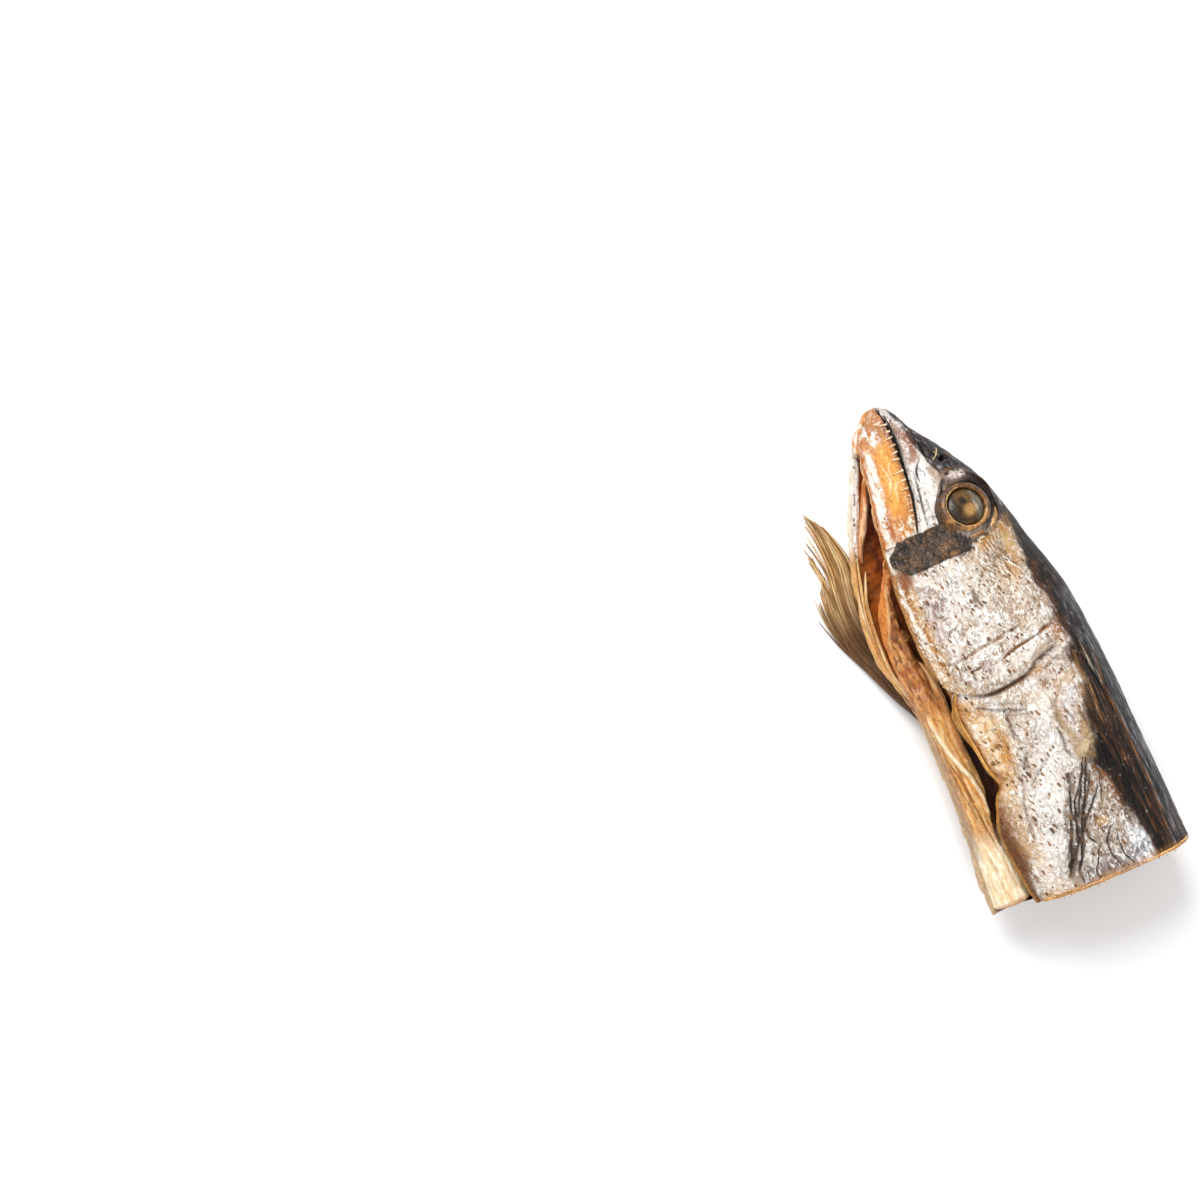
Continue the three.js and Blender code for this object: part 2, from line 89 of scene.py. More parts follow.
LENGTH = 115
REST_DEPTH = 12.4  # middle plane to the flat that the fish lies on
BACK_TOP = 22.6
BONE_STANDS = 0.5

back_height = profile(
    (0, BACK_TOP), (40, 22.2), (60, 21.1), (75, 17.6), (90, 13.8), (100, 8.6), (108, 3.3), (113.5, 0.4),
    (LENGTH, -1.6)
)
widest_height = profile((0, 6), (30, 5), (60, 3), (80, 2), (95, 0), (108, -2), (LENGTH, -2.8))
half_width = profile(
    (0, 12.8), (20, 13.1), (45, 13.2), (60, 12.6), (75, 11), (88, 8.6), (100, 6.2), (108, 4.3), (113, 2.6),
    (LENGTH, 1)
)
back_boxiness = profile((0, 2.9), (40, 2.6), (60, 2.2), (LENGTH, 2))
BELLY_FULLNESS = 2.4
upper_rim_height = profile(
    (0, -14.3), (6, -15.2), (11.5, -15.7), (16.3, -15.9), (20.3, -14.9), (24, -13.7), (27.2, -11.6),
    (32, -13),
    (37, -13.6), (41, -14.3), (45, -14.8), (48, -13.8), (50.5, -13.4), (53, -14.4), (56, -15.1), (61, -15.7),
    (70.5, -15.5), (80, -14.5), (90, -13.1), (97, -11.5), (105, -10.1), (110, -8.1), (LENGTH, -4.2),
)
upper_rim_offset = profile(
    (0, 6.6), (20, 7), (27, 7.8), (40, 7.6), (60, 8), (72, 7.4), (88, 5), (100, 3.6), (110, 2.1),
    (LENGTH, 0.5)
)
lower_rim_height = profile(
    (0, -23.3), (5, -23.2), (14.5, -22.1), (29.5, -20.9), (39.5, -20.5), (44.5, -20.4), (49.5, -20.8),
    (54.5, -22),
    (59.5, -23.2), (63.5, -23.8), (69.5, -23.4), (75, -22.6), (85, -20.3), (90, -18.6), (97, -15.8),
    (103, -12.9),
    (106, -11.3), (110, -9.7), (112, -7.8), (LENGTH, -4.4),
)
lower_rim_offset = profile(
    (0, 2.2), (30, 3.4), (50, 5), (66, 6), (80, 5.4), (95, 3.8), (105, 2.8), (112, 1.6), (LENGTH, 0.5)
)
hollow_height = profile(
    (0, -3), (40, -3.5), (60, -4), (72, -4.5), (85, -6), (98, -7.8), (106, -8.4), (LENGTH, -6)
)
wall_thickness = profile((0, 7.4), (40, 7.4), (55, 6.4), (70, 4.4), (90, 2.2), (LENGTH, 1.2))
rim_thickness = profile((0, 1.8), (50, 1.6), (80, 1.4), (100, 1.2), (LENGTH, 0.8))
RIM_BEVEL = {UPPER: 5, LOWER: 14}
CHIN_STATION, CHIN_BLEND, CHIN_BULGE = 109, 5, 0.8

strip_height = profile(
    (0, -18.9), (12, -18.7), (25, -17.9), (42, -17.5), (60, -18.7), (68, -18.5), (75, -16.9), (82, -14.4)
)
strip_offset = profile((0, 0.6), (20, 0), (45, -0.9), (60, -1.2), (68, -0.2), (75, 1.8), (82, 4.3))
strip_half_height = profile(
    (0, 4.6), (6, 4.1), (18, 3.6), (45, 3.3), (60, 3.1), (68, 2.5), (76, 1.4), (82, 0.6)
)
strip_half_offset = profile((0, 4.6), (12, 4.2), (30, 3.7), (50, 3.3), (62, 2.7), (76, 1.5), (82, 0.7))
STRIP_TIP = 82

EYE = {"station": 86.8, "height": 6, "lean": 0.34, "toe": 0.2}
fin_upper_edge = profile(
    (46, -17.5), (58, -20), (70, -21.6), (80, -20.2), (85, -19.4), (90, -20.1), (95, -21.4), (100, -24.4)
)
fin_lower_edge = profile(
    (46, -20.5), (60, -26.5), (70, -30.2), (75, -30.8), (81, -30.2), (85, -29.3), (90, -28.2), (100, -26.4)
)
fin_tip_station = profile((0, 96), (0.25, 98), (0.5, 99.8), (0.62, 93.8), (0.74, 90), (0.85, 83.8), (1, 80.1))
fin_tip_curl = profile((0, -0.5), (0.5, 0), (0.56, -1), (0.62, -3), (0.74, -1.2), (0.85, 0.3), (1, -1.3))
fin_offset = profile((46, -7), (54, -9.4), (66, -11.2), (100, -11.5))
FIN_ROOT = 46

gill_edge_station = profile(
    (-15, 53.8), (-14, 51.6), (-12.6, 50.1), (-10.5, 48.7), (-8.7, 47.9), (-4.7, 47.5), (-1.8, 47.8),
    (1.2, 48.2),
    (3.9, 49.1), (6.1, 50.2), (10.1, 51.3), (14, 54),
)
mouth_height = profile(
    (85.5, -6.2), (89, -5), (91.5, -4.2), (94, -3.5), (97, -3), (100, -2.5), (103, -2.1), (106, -1.6),
    (109, -1.4),
    (113, -1.4), (114.5, -2),
)
mouth_half_gap = profile((85.5, 0.25), (92, 0.34), (100, 0.42), (106, 0.58), (111, 0.55), (114.5, 0.3))

# The camera hangs over this point of the middle plane. Landmarks of the flank are given as it sees them.
VIEW_STATION, VIEW_HEIGHT, VIEW_DISTANCE = 100.8, -76.1, 450
FRAME_WIDTH = 270

high_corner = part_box(NODE)[1]
CUT_X = high_corner[0] / MM - BONE_STANDS
MIDDLE_Y = high_corner[1] / MM - BACK_TOP


def to_row(station, height, offset):
    """Places in the row frame, in metres. Nothing reaches below the flat that the fish lies on."""
    up = np.maximum(np.asarray(offset, float) + REST_DEPTH, 0.02)
    return joined(CUT_X - np.asarray(station, float), MIDDLE_Y + np.asarray(height, float), up) * MM


def smooth(x, start, end):
    t = np.clip((np.asarray(x, float) - start) / (end - start), 0, 1)
    return t * t * (3 - 2 * t)


def fall(x, start, end):
    return 1 - smooth(x, start, end)


def near(away, inside, outside):
    """1 up to the distance inside, and 0 from the distance outside on."""
    return fall(np.abs(away), inside, outside)


def joined(*parts):
    """Values side by side on a new last axis, such as stations, heights and offsets."""
    return np.stack(np.broadcast_arrays(*parts), -1)


def rim_height(station, side):
    return upper_rim_height(station) if side == UPPER else lower_rim_height(station)


def rim_offset(station, side):
    return upper_rim_offset(station) if side == UPPER else lower_rim_offset(station)


def flank_offset(station, height, side):
    """How far the skin of a flank lies from the middle plane."""
    widest, half, power = widest_height(station), half_width(station), back_boxiness(station)
    above = np.clip((height - widest) / (back_height(station) - widest), 0, 1)
    over = half * (1 - above**power) ** (1 / power)
    below = np.clip((widest - height) / (widest - rim_height(station, side)), 0, 1)
    under = half - (half - rim_offset(station, side)) * below**BELLY_FULLNESS
    return np.where(height >= widest, over, under)


def seen_at(station, height, offset):
    """Where the camera sees a point against the middle plane. The lower flank counts as its mirror image."""
    grow = VIEW_DISTANCE / (VIEW_DISTANCE - np.abs(offset))
    return VIEW_STATION + (station - VIEW_STATION) * grow, VIEW_HEIGHT + (height - VIEW_HEIGHT) * grow


def true_at(u, v, offset):
    """The station and height of what is seen at u, v and lies that far above the middle plane."""
    shrink = 1 - offset / VIEW_DISTANCE
    return VIEW_STATION + (u - VIEW_STATION) * shrink, VIEW_HEIGHT + (v - VIEW_HEIGHT) * shrink


def under_sight(u, v, side):
    """The flank's point that is seen at u, v: its station, height and offset."""
    station, height = np.array(u, float), np.array(v, float)
    for _ in range(6):
        offset = flank_offset(station, height, side)
        shrink = 1 - offset / VIEW_DISTANCE
        station = VIEW_STATION + (u - VIEW_STATION) * shrink
        height = VIEW_HEIGHT + (v - VIEW_HEIGHT) * shrink
    return station, height, flank_offset(station, height, side)


# --- Rough and crumpled surfaces

SHUFFLE = np.tile(np.random.default_rng(31).permutation(256), 3)
DIRECTIONS = np.array([d for d in itertools.product((-1, 0, 1), repeat=3) if sum(map(abs, d)) == 2], float)


def bumps(places, seed=0):
    """Smooth noise from about -1 to 1 with bumps one unit wide."""
    cell = np.floor(places).astype(int)
    part = places - cell
    fade = part**3 * (part * (part * 6 - 15) + 10)
    total = np.zeros(places.shape[:-1])
    for corner in itertools.product((0, 1), repeat=3):
        x, y, z = ((cell[..., i] + corner[i] + seed * (17 + 5 * i)) & 255 for i in range(3))
        towards = DIRECTIONS[SHUFFLE[SHUFFLE[SHUFFLE[x] + y] + z] % len(DIRECTIONS)]
        weight = np.prod([fade[..., i] if corner[i] else 1 - fade[..., i] for i in range(3)], axis=0)
        total += weight * np.sum(towards * (part - corner), axis=-1)
    return total


def rough(places, size, seed=0, octaves=3, keep=0.5):
    """Layered noise whose largest bumps are size millimetres wide, or (station, height, offset) sizes."""
    scaled = places / np.asarray(size, float)
    total, weight = 0, 1
    for octave in range(octaves):
        total = total + weight * bumps(scaled * 2**octave, seed + octave)
        weight *= keep
    return total


def wrinkled(places, size, seed=0, octaves=2):
    """Sharp valleys between rounded cushions, from 0 in a valley to about 1."""
    return np.minimum(1, np.abs(rough(places, size, seed, octaves)) * 3)


def sweep(points, steps=8):
    """A Catmull-Rom curve through the points, with that many steps between two of them."""
    points = np.array(points, float)
    ends = np.vstack([2 * points[0] - points[1], points, 2 * points[-1] - points[-2]])
    t = np.linspace(0, 1, steps, endpoint=False)[:, None]
    spans = [
        0.5 * (2 * b + (c - a) * t + (2 * a - 5 * b + 4 * c - d) * t**2 + (3 * b - a - 3 * c + d) * t**3)
        for a, b, c, d in zip(ends, ends[1:], ends[2:], ends[3:])
    ]
    return np.vstack([*spans, points[-1]])


def to_line(u, v, points, steps=6):
    """Distance to a curve, signed by the side on which a point lies, and how far along it is nearest."""
    line = sweep(points, steps)
    legs = np.diff(line, axis=0)
    lengths = np.maximum(np.hypot(*legs.T), 1e-9)
    starts = np.concatenate([[0], np.cumsum(lengths)])
    best, along = np.full(np.shape(u), 1e9), np.zeros(np.shape(u))
    for start, leg, length, before in zip(line, legs, lengths, starts):
        du, dv = u - start[0], v - start[1]
        t = np.clip((du * leg[0] + dv * leg[1]) / length**2, 0, 1)
        away = np.hypot(du - t * leg[0], dv - t * leg[1])
        signed = np.where(leg[0] * dv - leg[1] * du >= 0, away, -away)
        nearer = away < np.abs(best)
        best = np.where(nearer, signed, best)
        along = np.where(nearer, before + t * length, along)
    return best, along / starts[-1]


def mark(u, v, points, width, soft=None, taper=True):
    """A stroke along a curve: 1 on it, 0 away from it."""
    away, along = to_line(u, v, points)
    soft = soft or width
    ends = np.sin(math.pi * np.clip(along, 0.02, 0.98)) ** 0.5 if taper else 1
    return fall(np.abs(away), width * ends, (width + soft) * ends + 1e-6) * ends**0.5


def blot(u, v, middle, size, turn=0.0, soft=0.5):
    """An oval patch: 1 inside, 0 outside."""
    du, dv = u - middle[0], v - middle[1]
    cos, sin = math.cos(turn), math.sin(turn)
    away = np.hypot((du * cos + dv * sin) / size[0], (dv * cos - du * sin) / size[1])
    return 1 - smooth(away, 1 - soft, 1 + soft)


def within(u, v, corners, soft=0.8):
    """A patch with these corners: 1 inside, 0 outside, softened across its edge."""
    corners = np.array(corners, float)
    inside = np.zeros(np.shape(u), bool)
    away = np.full(np.shape(u), 1e9)
    for (u0, v0), (u1, v1) in zip(corners, np.roll(corners, -1, axis=0)):
        crosses = (v0 > v) != (v1 > v)
        reach = np.where(v1 != v0, (u1 - u0) * (v - v0) / np.where(v1 != v0, v1 - v0, 1) + u0, u0)
        inside ^= crosses & (u < reach)
        leg, du, dv = (u1 - u0, v1 - v0), u - u0, v - v0
        t = np.clip((du * leg[0] + dv * leg[1]) / (leg[0] ** 2 + leg[1] ** 2), 0, 1)
        away = np.minimum(away, np.hypot(du - t * leg[0], dv - t * leg[1]))
    return smooth(np.where(inside, away, -away), -soft, soft)


# --- Meshes


def grid_faces(rows, columns, wrap=False, base=0):
    """Faces over a grid of rows by columns of points. With wrap, the last column joins the first."""
    i, j = np.meshgrid(np.arange(rows - 1), np.arange(columns if wrap else columns - 1), indexing="ij")
    after = (j + 1) % columns
    faces = joined(i * columns + j, (i + 1) * columns + j, (i + 1) * columns + after, i * columns + after)
    return (faces.reshape(-1, 4) + base).tolist()


def volume(places, faces):
    """The volume inside a closed mesh, negative where its faces point inwards."""
    total = 0
    for count in {len(face) for face in faces}:
        corners = places[np.array([face for face in faces if len(face) == count])]
        for i in range(1, count - 1):
            total += np.einsum("ij,ij->", corners[:, 0], np.cross(corners[:, i], corners[:, i + 1])) / 6
    return total


def add_object(name, data):
    thing = bpy.data.objects.new(name, data)
    bpy.context.scene.collection.objects.link(thing)
    return thing


def add_piece(name, mesh):
    """A visual piece of the fish, which rides on its only body."""
    piece = add_object(name, mesh)
    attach(piece, ROOT)
    return piece


def put_values(mesh, attributes):
    """Gives a mesh's points values by name: colours in three columns, or single numbers."""
    for label, values in attributes.items():
        values = np.asarray(values, np.float32)
        if values.ndim == 2:
            layer = mesh.attributes.new(label, "FLOAT_COLOR", "POINT")
            full = np.ones((len(values), 4), np.float32)
            full[:, :3] = values
            layer.data.foreach_set("color", full.ravel())
        else:
            mesh.attributes.new(label, "FLOAT", "POINT").data.foreach_set("value", values)


def make_piece(name, places, faces, attributes, *materials, which=None):
    """A smooth, closed piece from places in the fish's own axes, with values by name on its points. Its faces
    are turned outwards."""
    mesh = bpy.data.meshes.new(name)
    places = to_row(*np.asarray(places, float).reshape(-1, 3).T)
    if volume(places, faces) < 0:
        faces = [face[::-1] for face in faces]
    mesh.from_pydata(places.tolist(), [], faces)
    put_values(mesh, attributes)
    mesh.polygons.foreach_set("use_smooth", [True] * len(mesh.polygons))
    for material in materials:
        mesh.materials.append(material)
    if which is not None:
        mesh.polygons.foreach_set("material_index", which)
    mesh.update()
    return add_piece(name, mesh)


def grid_normals(places, wrap=False):
    """Unit normals of a grid of places, from its neighbours. With wrap, its last column meets its first."""
    along = np.gradient(places, axis=0)
    if wrap:
        across = np.roll(places, -1, axis=1) - np.roll(places, 1, axis=1)
    else:
        across = np.gradient(places, axis=1)
    normal = np.cross(along, across)
    return normal / np.maximum(np.linalg.norm(normal, axis=-1, keepdims=True), 1e-12)


def grid_edge(rows, columns):
    """The points round a grid, by number."""
    index = np.arange(rows * columns).reshape(rows, columns)
    return np.concatenate([index[:-1, 0], index[-1, :-1], index[:0:-1, -1], index[0, :0:-1]])


def skirted(places, outward, depth):
    """A sheet closed by a skirt of that depth and one face under it. Also gives the skirt's points."""
    rows, columns = places.shape[:2]
    edge = grid_edge(rows, columns)
    flat = places.reshape(-1, 3)
    sunk = flat[edge] + -outward.reshape(-1, 3)[edge] * depth
    under = rows * columns + np.arange(len(edge))
    faces = grid_faces(rows, columns)
    faces += joined(np.roll(edge, -1), edge, under, np.roll(under, -1)).tolist()
    faces.append(under[::-1].tolist())
    return np.vstack([flat, sunk]), faces, edge


# --- Finishes


def linear(colour):
    """An sRGB hex colour as linear light."""
    parts = [int(colour[i : i + 2], 16) / 255 for i in (1, 3, 5)]
    return np.array([p / 12.92 if p <= 0.04045 else ((p + 0.055) / 1.055) ** 2.4 for p in parts])


def add(tree, kind, settings=None, links=None):
    """Adds a node, with its settings and input values by name and its inputs' sources."""
    node = tree.nodes.new(kind)
    for name, value in (settings or {}).items():
        if isinstance(name, str) and hasattr(node, name):
            setattr(node, name, value)
        else:
            node.inputs[name].default_value = value
    for name, source in (links or {}).items():
        tree.links.new(source, node.inputs[name])
    return node


class Finish:
    """A material with one principled surface, and short names for the nodes that make its pattern. Inputs
    that are the same all over are set on the surface itself."""

    def __init__(self, name, **constants):
        self.material = bpy.data.materials.new(name)
        self.material.use_nodes = True
        self.tree = self.material.node_tree
        self.surface = self.tree.nodes["Principled BSDF"]
        for label, value in constants.items():
            self.plug(value, self.surface.inputs[label.replace("_", " ").title().replace("Ior", "IOR")])

    def plug(self, source, socket):
        """Links a source to a socket, or sets the socket to a constant, where a string is an sRGB colour."""
        if isinstance(source, bpy.types.NodeSocket):
            self.tree.links.new(source, socket)
        else:
            socket.default_value = (*linear(source), 1) if isinstance(source, str) else source

    def painted(self, name="coat", output="Color"):
        """A value that the mesh carries on its points."""
        return add(self.tree, "ShaderNodeAttribute", {"attribute_name": name}).outputs[output]

    def place(self, stretch=(1, 1, 1), turn=0.0):
        """Object coordinates in millimetres, squeezed so that a pattern grows by stretch along each axis."""
        here = add(self.tree, "ShaderNodeTexCoord").outputs["Object"]
        scale = tuple(1 / (MM * s) for s in stretch)
        turned = add(self.tree, "ShaderNodeMapping", {"Rotation": (0, 0, turn)}, {"Vector": here}).outputs[
            "Vector"
        ]
        return add(self.tree, "ShaderNodeMapping", {"Scale": scale}, {"Vector": turned}).outputs["Vector"]

    def noise(self, where, detail, roughness=0.5, distortion=0.0, scale=1.0):
        settings = {"Scale": scale, "Detail": detail, "Roughness": roughness, "Distortion": distortion}
        return add(self.tree, "ShaderNodeTexNoise", settings, {"Vector": where}).outputs["Fac"]

    def shades(self, source, *stops):
        """A colour ramp over a value, from (place, sRGB hex or grey) stops."""
        node = add(self.tree, "ShaderNodeValToRGB", links={"Fac": source})
        ramp = node.color_ramp
        while len(ramp.elements) < len(stops):
            ramp.elements.new(0.5)
        for element, (place, shade) in zip(ramp.elements, stops):
            element.position = place
            element.color = (*linear(shade), 1) if isinstance(shade, str) else (shade, shade, shade, 1)
        return node.outputs["Color"]

    def blend(self, mode, amount, first, second):
        """Mixes two colours. Amount, first and second are each a socket or a constant."""
        node = add(
            self.tree, "ShaderNodeMix", {"data_type": "RGBA", "blend_type": mode, "clamp_factor": True}
        )
        for source, socket in ((amount, 0), (first, 6), (second, 7)):
            self.plug(source, node.inputs[socket])
        return node.outputs[2]

    def math(self, operation, first, second=0.0):
        node = add(self.tree, "ShaderNodeMath", {"operation": operation})
        self.plug(first, node.inputs[0])
        self.plug(second, node.inputs[1])
        return node.outputs[0]

    def times(self, *factors):
        return functools.reduce(lambda right, left: self.math("MULTIPLY", left, right), factors[::-1])

    def plus(self, *terms):
        return functools.reduce(lambda left, right: self.math("ADD", left, right), terms)

    def span(self, source, low, high, new_low=0.0, new_high=1.0):
        """Moves a value from one range to another, clamped at both ends."""
        settings = {"From Min": low, "From Max": high, "To Min": new_low, "To Max": new_high}
        return add(self.tree, "ShaderNodeMapRange", settings, {"Value": source}).outputs["Result"]

    def done(self, colour, roughness, height, strength, distance):
        relief = add(
            self.tree, "ShaderNodeBump", {"Strength": strength, "Distance": distance}, {"Height": height}
        )
        self.plug(colour, self.surface.inputs["Base Color"])
        self.plug(roughness, self.surface.inputs["Roughness"])
        self.plug(relief.outputs["Normal"], self.surface.inputs["Normal"])
        return self.material


def dried_silver_skin():
    """Salted, air-dried fish skin. The eye gets chalky silver with brown pores in short dashes, a tan painted
    shade in the hollows between small swellings with painted highlights on their crests, and on the back long
    blue-black streaks over brown."""
    skin = Finish(
        "dried_silver_skin", ior=1.45, specular_ior_level=0.3, subsurface_weight=0.04,
        subsurface_radius=(0.002, 0.001, 0.0005), subsurface_scale=0.5,
    )
    coat = skin.painted()
    pores, chalk, streaks = (skin.painted(name, "Fac") for name in ("pores", "chalk", "streaks"))

    # Streaks: fibres of 0.4 by 5 mm along the back.
    fibre = skin.noise(skin.place((5, 0.42, 1.2)), 6.0, 0.62)
    fibre_light = skin.shades(fibre, (0.3, 0.02), (0.46, 0.25), (0.55, 0.6), (0.7, 1.9))
    colour = skin.blend("MIX", streaks, coat, skin.blend("MULTIPLY", 1.0, coat, fibre_light))

    # Cushions of 1 to 2 mm: brown cracks wriggle between them, their low parts get a tan painted shade and
    # their crests a white painted highlight.
    near = skin.place((1.8, 1.15, 1.15), 0.15)
    swell = skin.noise(near, 3.0, 0.5, 1.6)
    patchy = skin.noise(near, 3.0, 0.6, scale=0.25)
    from_middle = skin.math("ABSOLUTE", skin.plus(swell, -0.46))
    crack = skin.times(pores, skin.span(from_middle, 0.014, 0.05, 1.0, 0.0), skin.span(patchy, 0.44, 0.56))
    tops = skin.times(skin.span(swell, 0.53, 0.57), chalk)
    low = skin.span(swell, 0.36, 0.46, 1.0, 0.0)
    # Painted shade: the cushions' low parts are multiplied towards tan.
    colour = skin.blend("MULTIPLY", skin.times(low, pores, 0.3), colour, "#b48e6a")
    # Painted highlight: the cushions' crests turn near-white.
    colour = skin.blend("MIX", skin.times(tops, 0.8), colour, "#fdfaf6")
    colour = skin.blend("MIX", skin.times(crack, 0.7), colour, "#75502f")

    # Pores: brown dashes of about 0.5 by 1 mm.
    here = add(skin.tree, "ShaderNodeTexCoord").outputs["Object"]
    shifted = skin.noise(here, 2.0, scale=700.0).node.outputs["Color"]
    bent = skin.blend("LINEAR_LIGHT", 0.34, skin.place((2.1, 0.95, 0.95), -0.35), shifted)
    cell = add(skin.tree, "ShaderNodeTexVoronoi", {"Scale": 1.0, "Randomness": 1.0}, {"Vector": bent})
    luck = add(skin.tree, "ShaderNodeSeparateColor", links={"Color": cell.outputs["Color"]}).outputs
    size = skin.plus(skin.times(luck["Red"], 0.2), 0.16)
    dot = skin.span(skin.math("SUBTRACT", cell.outputs["Distance"], size), -0.03, 0.04, 1.0, 0.0)
    chosen = skin.span(skin.math("SUBTRACT", skin.times(pores, 0.85), luck["Green"]), -0.05, 0.15)
    pore = skin.times(dot, chosen)
    tint = skin.blend("MIX", luck["Blue"], "#4c2f1b", "#a06c3c")
    colour = skin.blend("MIX", skin.times(pore, 0.92), colour, tint)

    # Fine grain of 0.25 mm.
    grain = skin.noise(skin.place(), 4.0, 0.65, scale=4.0)
    colour = skin.blend("OVERLAY", 0.4, colour, skin.shades(grain, (0.3, 0.1), (0.7, 0.85)))
    gloss = skin.plus(skin.span(grain, 0.35, 0.65, 0.34, 0.56), skin.times(tops, -0.12))
    height = skin.plus(
        skin.times(swell, 1.9), skin.times(grain, 0.35), skin.times(fibre, streaks, 0.9),
        skin.times(pore, -0.25),
        skin.times(crack, -0.2),
    )
    return skin.done(colour, gloss, height, 0.9, 0.0006)


def dried_flesh():
    """Salted fish flesh, dried until it turns to amber and horn. The eye gets warm translucent orange with a
    waxy gloss, torn fibres along the fish and paler fat in the folds."""
    flesh = Finish(
        "dried_flesh", ior=1.45, specular_ior_level=0.3, coat_weight=0.1, coat_roughness=0.25,
        subsurface_weight=0.15, subsurface_radius=(0.003, 0.0012, 0.0004), subsurface_scale=0.6,
    )
    coat, streaks = flesh.painted(), flesh.painted("streaks", "Fac")
    fibre = flesh.noise(flesh.place((3.2, 0.6, 0.6), -0.06), 6.0, 0.6, 0.5)
    fibre_light = flesh.shades(fibre, (0.28, 0.3), (0.45, 0.6), (0.6, 0.85), (0.75, 1.3))
    colour = flesh.blend("MIX", streaks, coat, flesh.blend("MULTIPLY", 1.0, coat, fibre_light))
    lumps = flesh.noise(flesh.place((1.3, 1, 1)), 5.0, 0.6, 0.8)
    colour = flesh.blend("OVERLAY", 0.4, colour, flesh.shades(lumps, (0.32, 0.1), (0.5, 0.45), (0.7, 0.8)))
    fat = flesh.span(lumps, 0.62, 0.72, 0.0, 0.5)
    colour = flesh.blend("MIX", flesh.times(fat, streaks), colour, "#f1d3a4")
    height = flesh.plus(flesh.times(fibre, 0.8), lumps)
    return flesh.done(colour, flesh.span(lumps, 0.35, 0.65, 0.3, 0.5), height, 0.6, 0.0005)


def dried_leather():
    """Thick, scaleless skin dried like old leather. The eye gets grey-brown with black cracks, tan scuffs and
    a few pale grains."""
    leather = Finish("dried_leather", ior=1.48, specular_ior_level=0.35)
    patch = leather.noise(leather.place((1.9, 1.3, 1.3), 0.4), 7.0, 0.68, 1.2)
    dapple = leather.shades(patch, (0.33, 0.15), (0.5, 0.45), (0.66, 0.75))
    colour = leather.blend("OVERLAY", 0.6, leather.painted(), dapple)
    colour = leather.blend("MIX", leather.span(patch, 0.6, 0.72, 0.0, 0.4), colour, "#9a7a55")
    bent = leather.blend("LINEAR_LIGHT", 0.5, leather.place((1.4, 0.9, 1)), patch.node.outputs["Color"])
    cells = {"feature": "DISTANCE_TO_EDGE", "Scale": 0.8}
    edge = add(leather.tree, "ShaderNodeTexVoronoi", cells, {"Vector": bent}).outputs["Distance"]
    crack = leather.span(edge, 0.0, 0.07, 1.0, 0.0)
    colour = leather.blend("MIX", leather.times(crack, patch, 0.7), colour, "#1f1a17")
    height = leather.plus(patch, leather.times(crack, -0.35))
    return leather.done(colour, leather.span(patch, 0.35, 0.65, 0.35, 0.62), height, 0.9, 0.0006)


def cloudy(finish, cloud, amount, stops, gloss, strength, distance):
    """Finishes a surface with one pattern that clouds its colour, its gloss and its height."""
    colour = finish.blend("OVERLAY", amount, finish.painted(), finish.shades(cloud, *stops))
    return finish.done(colour, finish.span(cloud, 0.35, 0.65, *gloss), cloud, strength, distance)


def dried_horn():
    """The dried rim and skin round the eye, like amber horn, darker in its rings, with a satin gloss."""
    horn = Finish(
        "dried_horn", ior=1.5, specular_ior_level=0.35, coat_weight=0.2, coat_roughness=0.2,
        subsurface_weight=0.12, subsurface_radius=(0.002, 0.0008, 0.0003), subsurface_scale=0.5,
    )
    cloud = horn.noise(horn.place(), 5.0, 0.6, 0.7, scale=1.3)
    return cloudy(horn, cloud, 0.7, ((0.33, 0.1), (0.5, 0.5), (0.68, 0.9)), (0.28, 0.5), 0.5, 0.0004)


def shrunken_lens():
    """The eye's own dried jelly: murky olive glass with brown clouds under a wet-looking gloss."""
    lens = Finish(
        "shrunken_lens", ior=1.42, specular_ior_level=0.3, coat_weight=0.35, coat_roughness=0.12,
        subsurface_weight=0.1, subsurface_scale=0.4,
    )
    cloud = lens.noise(lens.place(), 4.0, 0.55, 1.0, scale=0.8)
    return cloudy(lens, cloud, 0.55, ((0.35, 0.15), (0.65, 0.8)), (0.2, 0.42), 0.4, 0.0004)


def dried_fin():
    """Fin rays with the web dried between them. The eye gets straw-coloured, slightly clear bristles, browner
    towards the root."""
    fin = Finish(
        "dried_fin", ior=1.5, subsurface_weight=0.2, subsurface_radius=(0.0012, 0.0007, 0.0003),
        subsurface_scale=0.5,
    )
    fibre = fin.noise(fin.place((6, 0.5, 0.5)), 5.0, 0.6)
    return cloudy(fin, fibre, 0.7, ((0.3, 0.1), (0.5, 0.5), (0.7, 0.95)), (0.38, 0.6), 0.5, 0.0003)


def bone_and_tooth():
    """Small bones and teeth, yellowed by salt and fat. The eye gets cream with a slight gloss."""
    bone = Finish(
        "bone_and_tooth", ior=1.53, subsurface_weight=0.2, subsurface_radius=(0.001, 0.0007, 0.0004),
        subsurface_scale=0.4,
    )
    stain = bone.noise(bone.place(), 4.0, scale=1.6)
    colour = bone.shades(stain, (0.35, "#b98e62"), (0.5, "#dcc39c"), (0.65, "#efe3c9"))
    return bone.done(colour, bone.span(stain, 0.35, 0.65, 0.3, 0.5), stain, 0.3, 0.0002)


SKIN, FLESH, LEATHER = dried_silver_skin(), dried_flesh(), dried_leather()
HORN, LENS, FIN, BONE = dried_horn(), shrunken_lens(), dried_fin(), bone_and_tooth()

# --- Colours and relief of the skin, by where the camera sees them


class Coat:
    """The colours of a piece's points and the values that its finish reads, laid over one another."""

    def __init__(self, count, ground, **values):
        self.colour = np.tile(linear(ground), (count, 1))
        self.values = {label: np.full(count, float(value)) for label, value in values.items()}

    def lay(self, colour, cover, **values):
        cover = np.clip(cover, 0, 1).ravel()
        self.colour += (linear(colour) - self.colour) * cover[:, None]
        for label, value in values.items():
            self.values[label] += (value - self.values[label]) * cover

    def attributes(self):
        return {"coat": self.colour, **self.values}


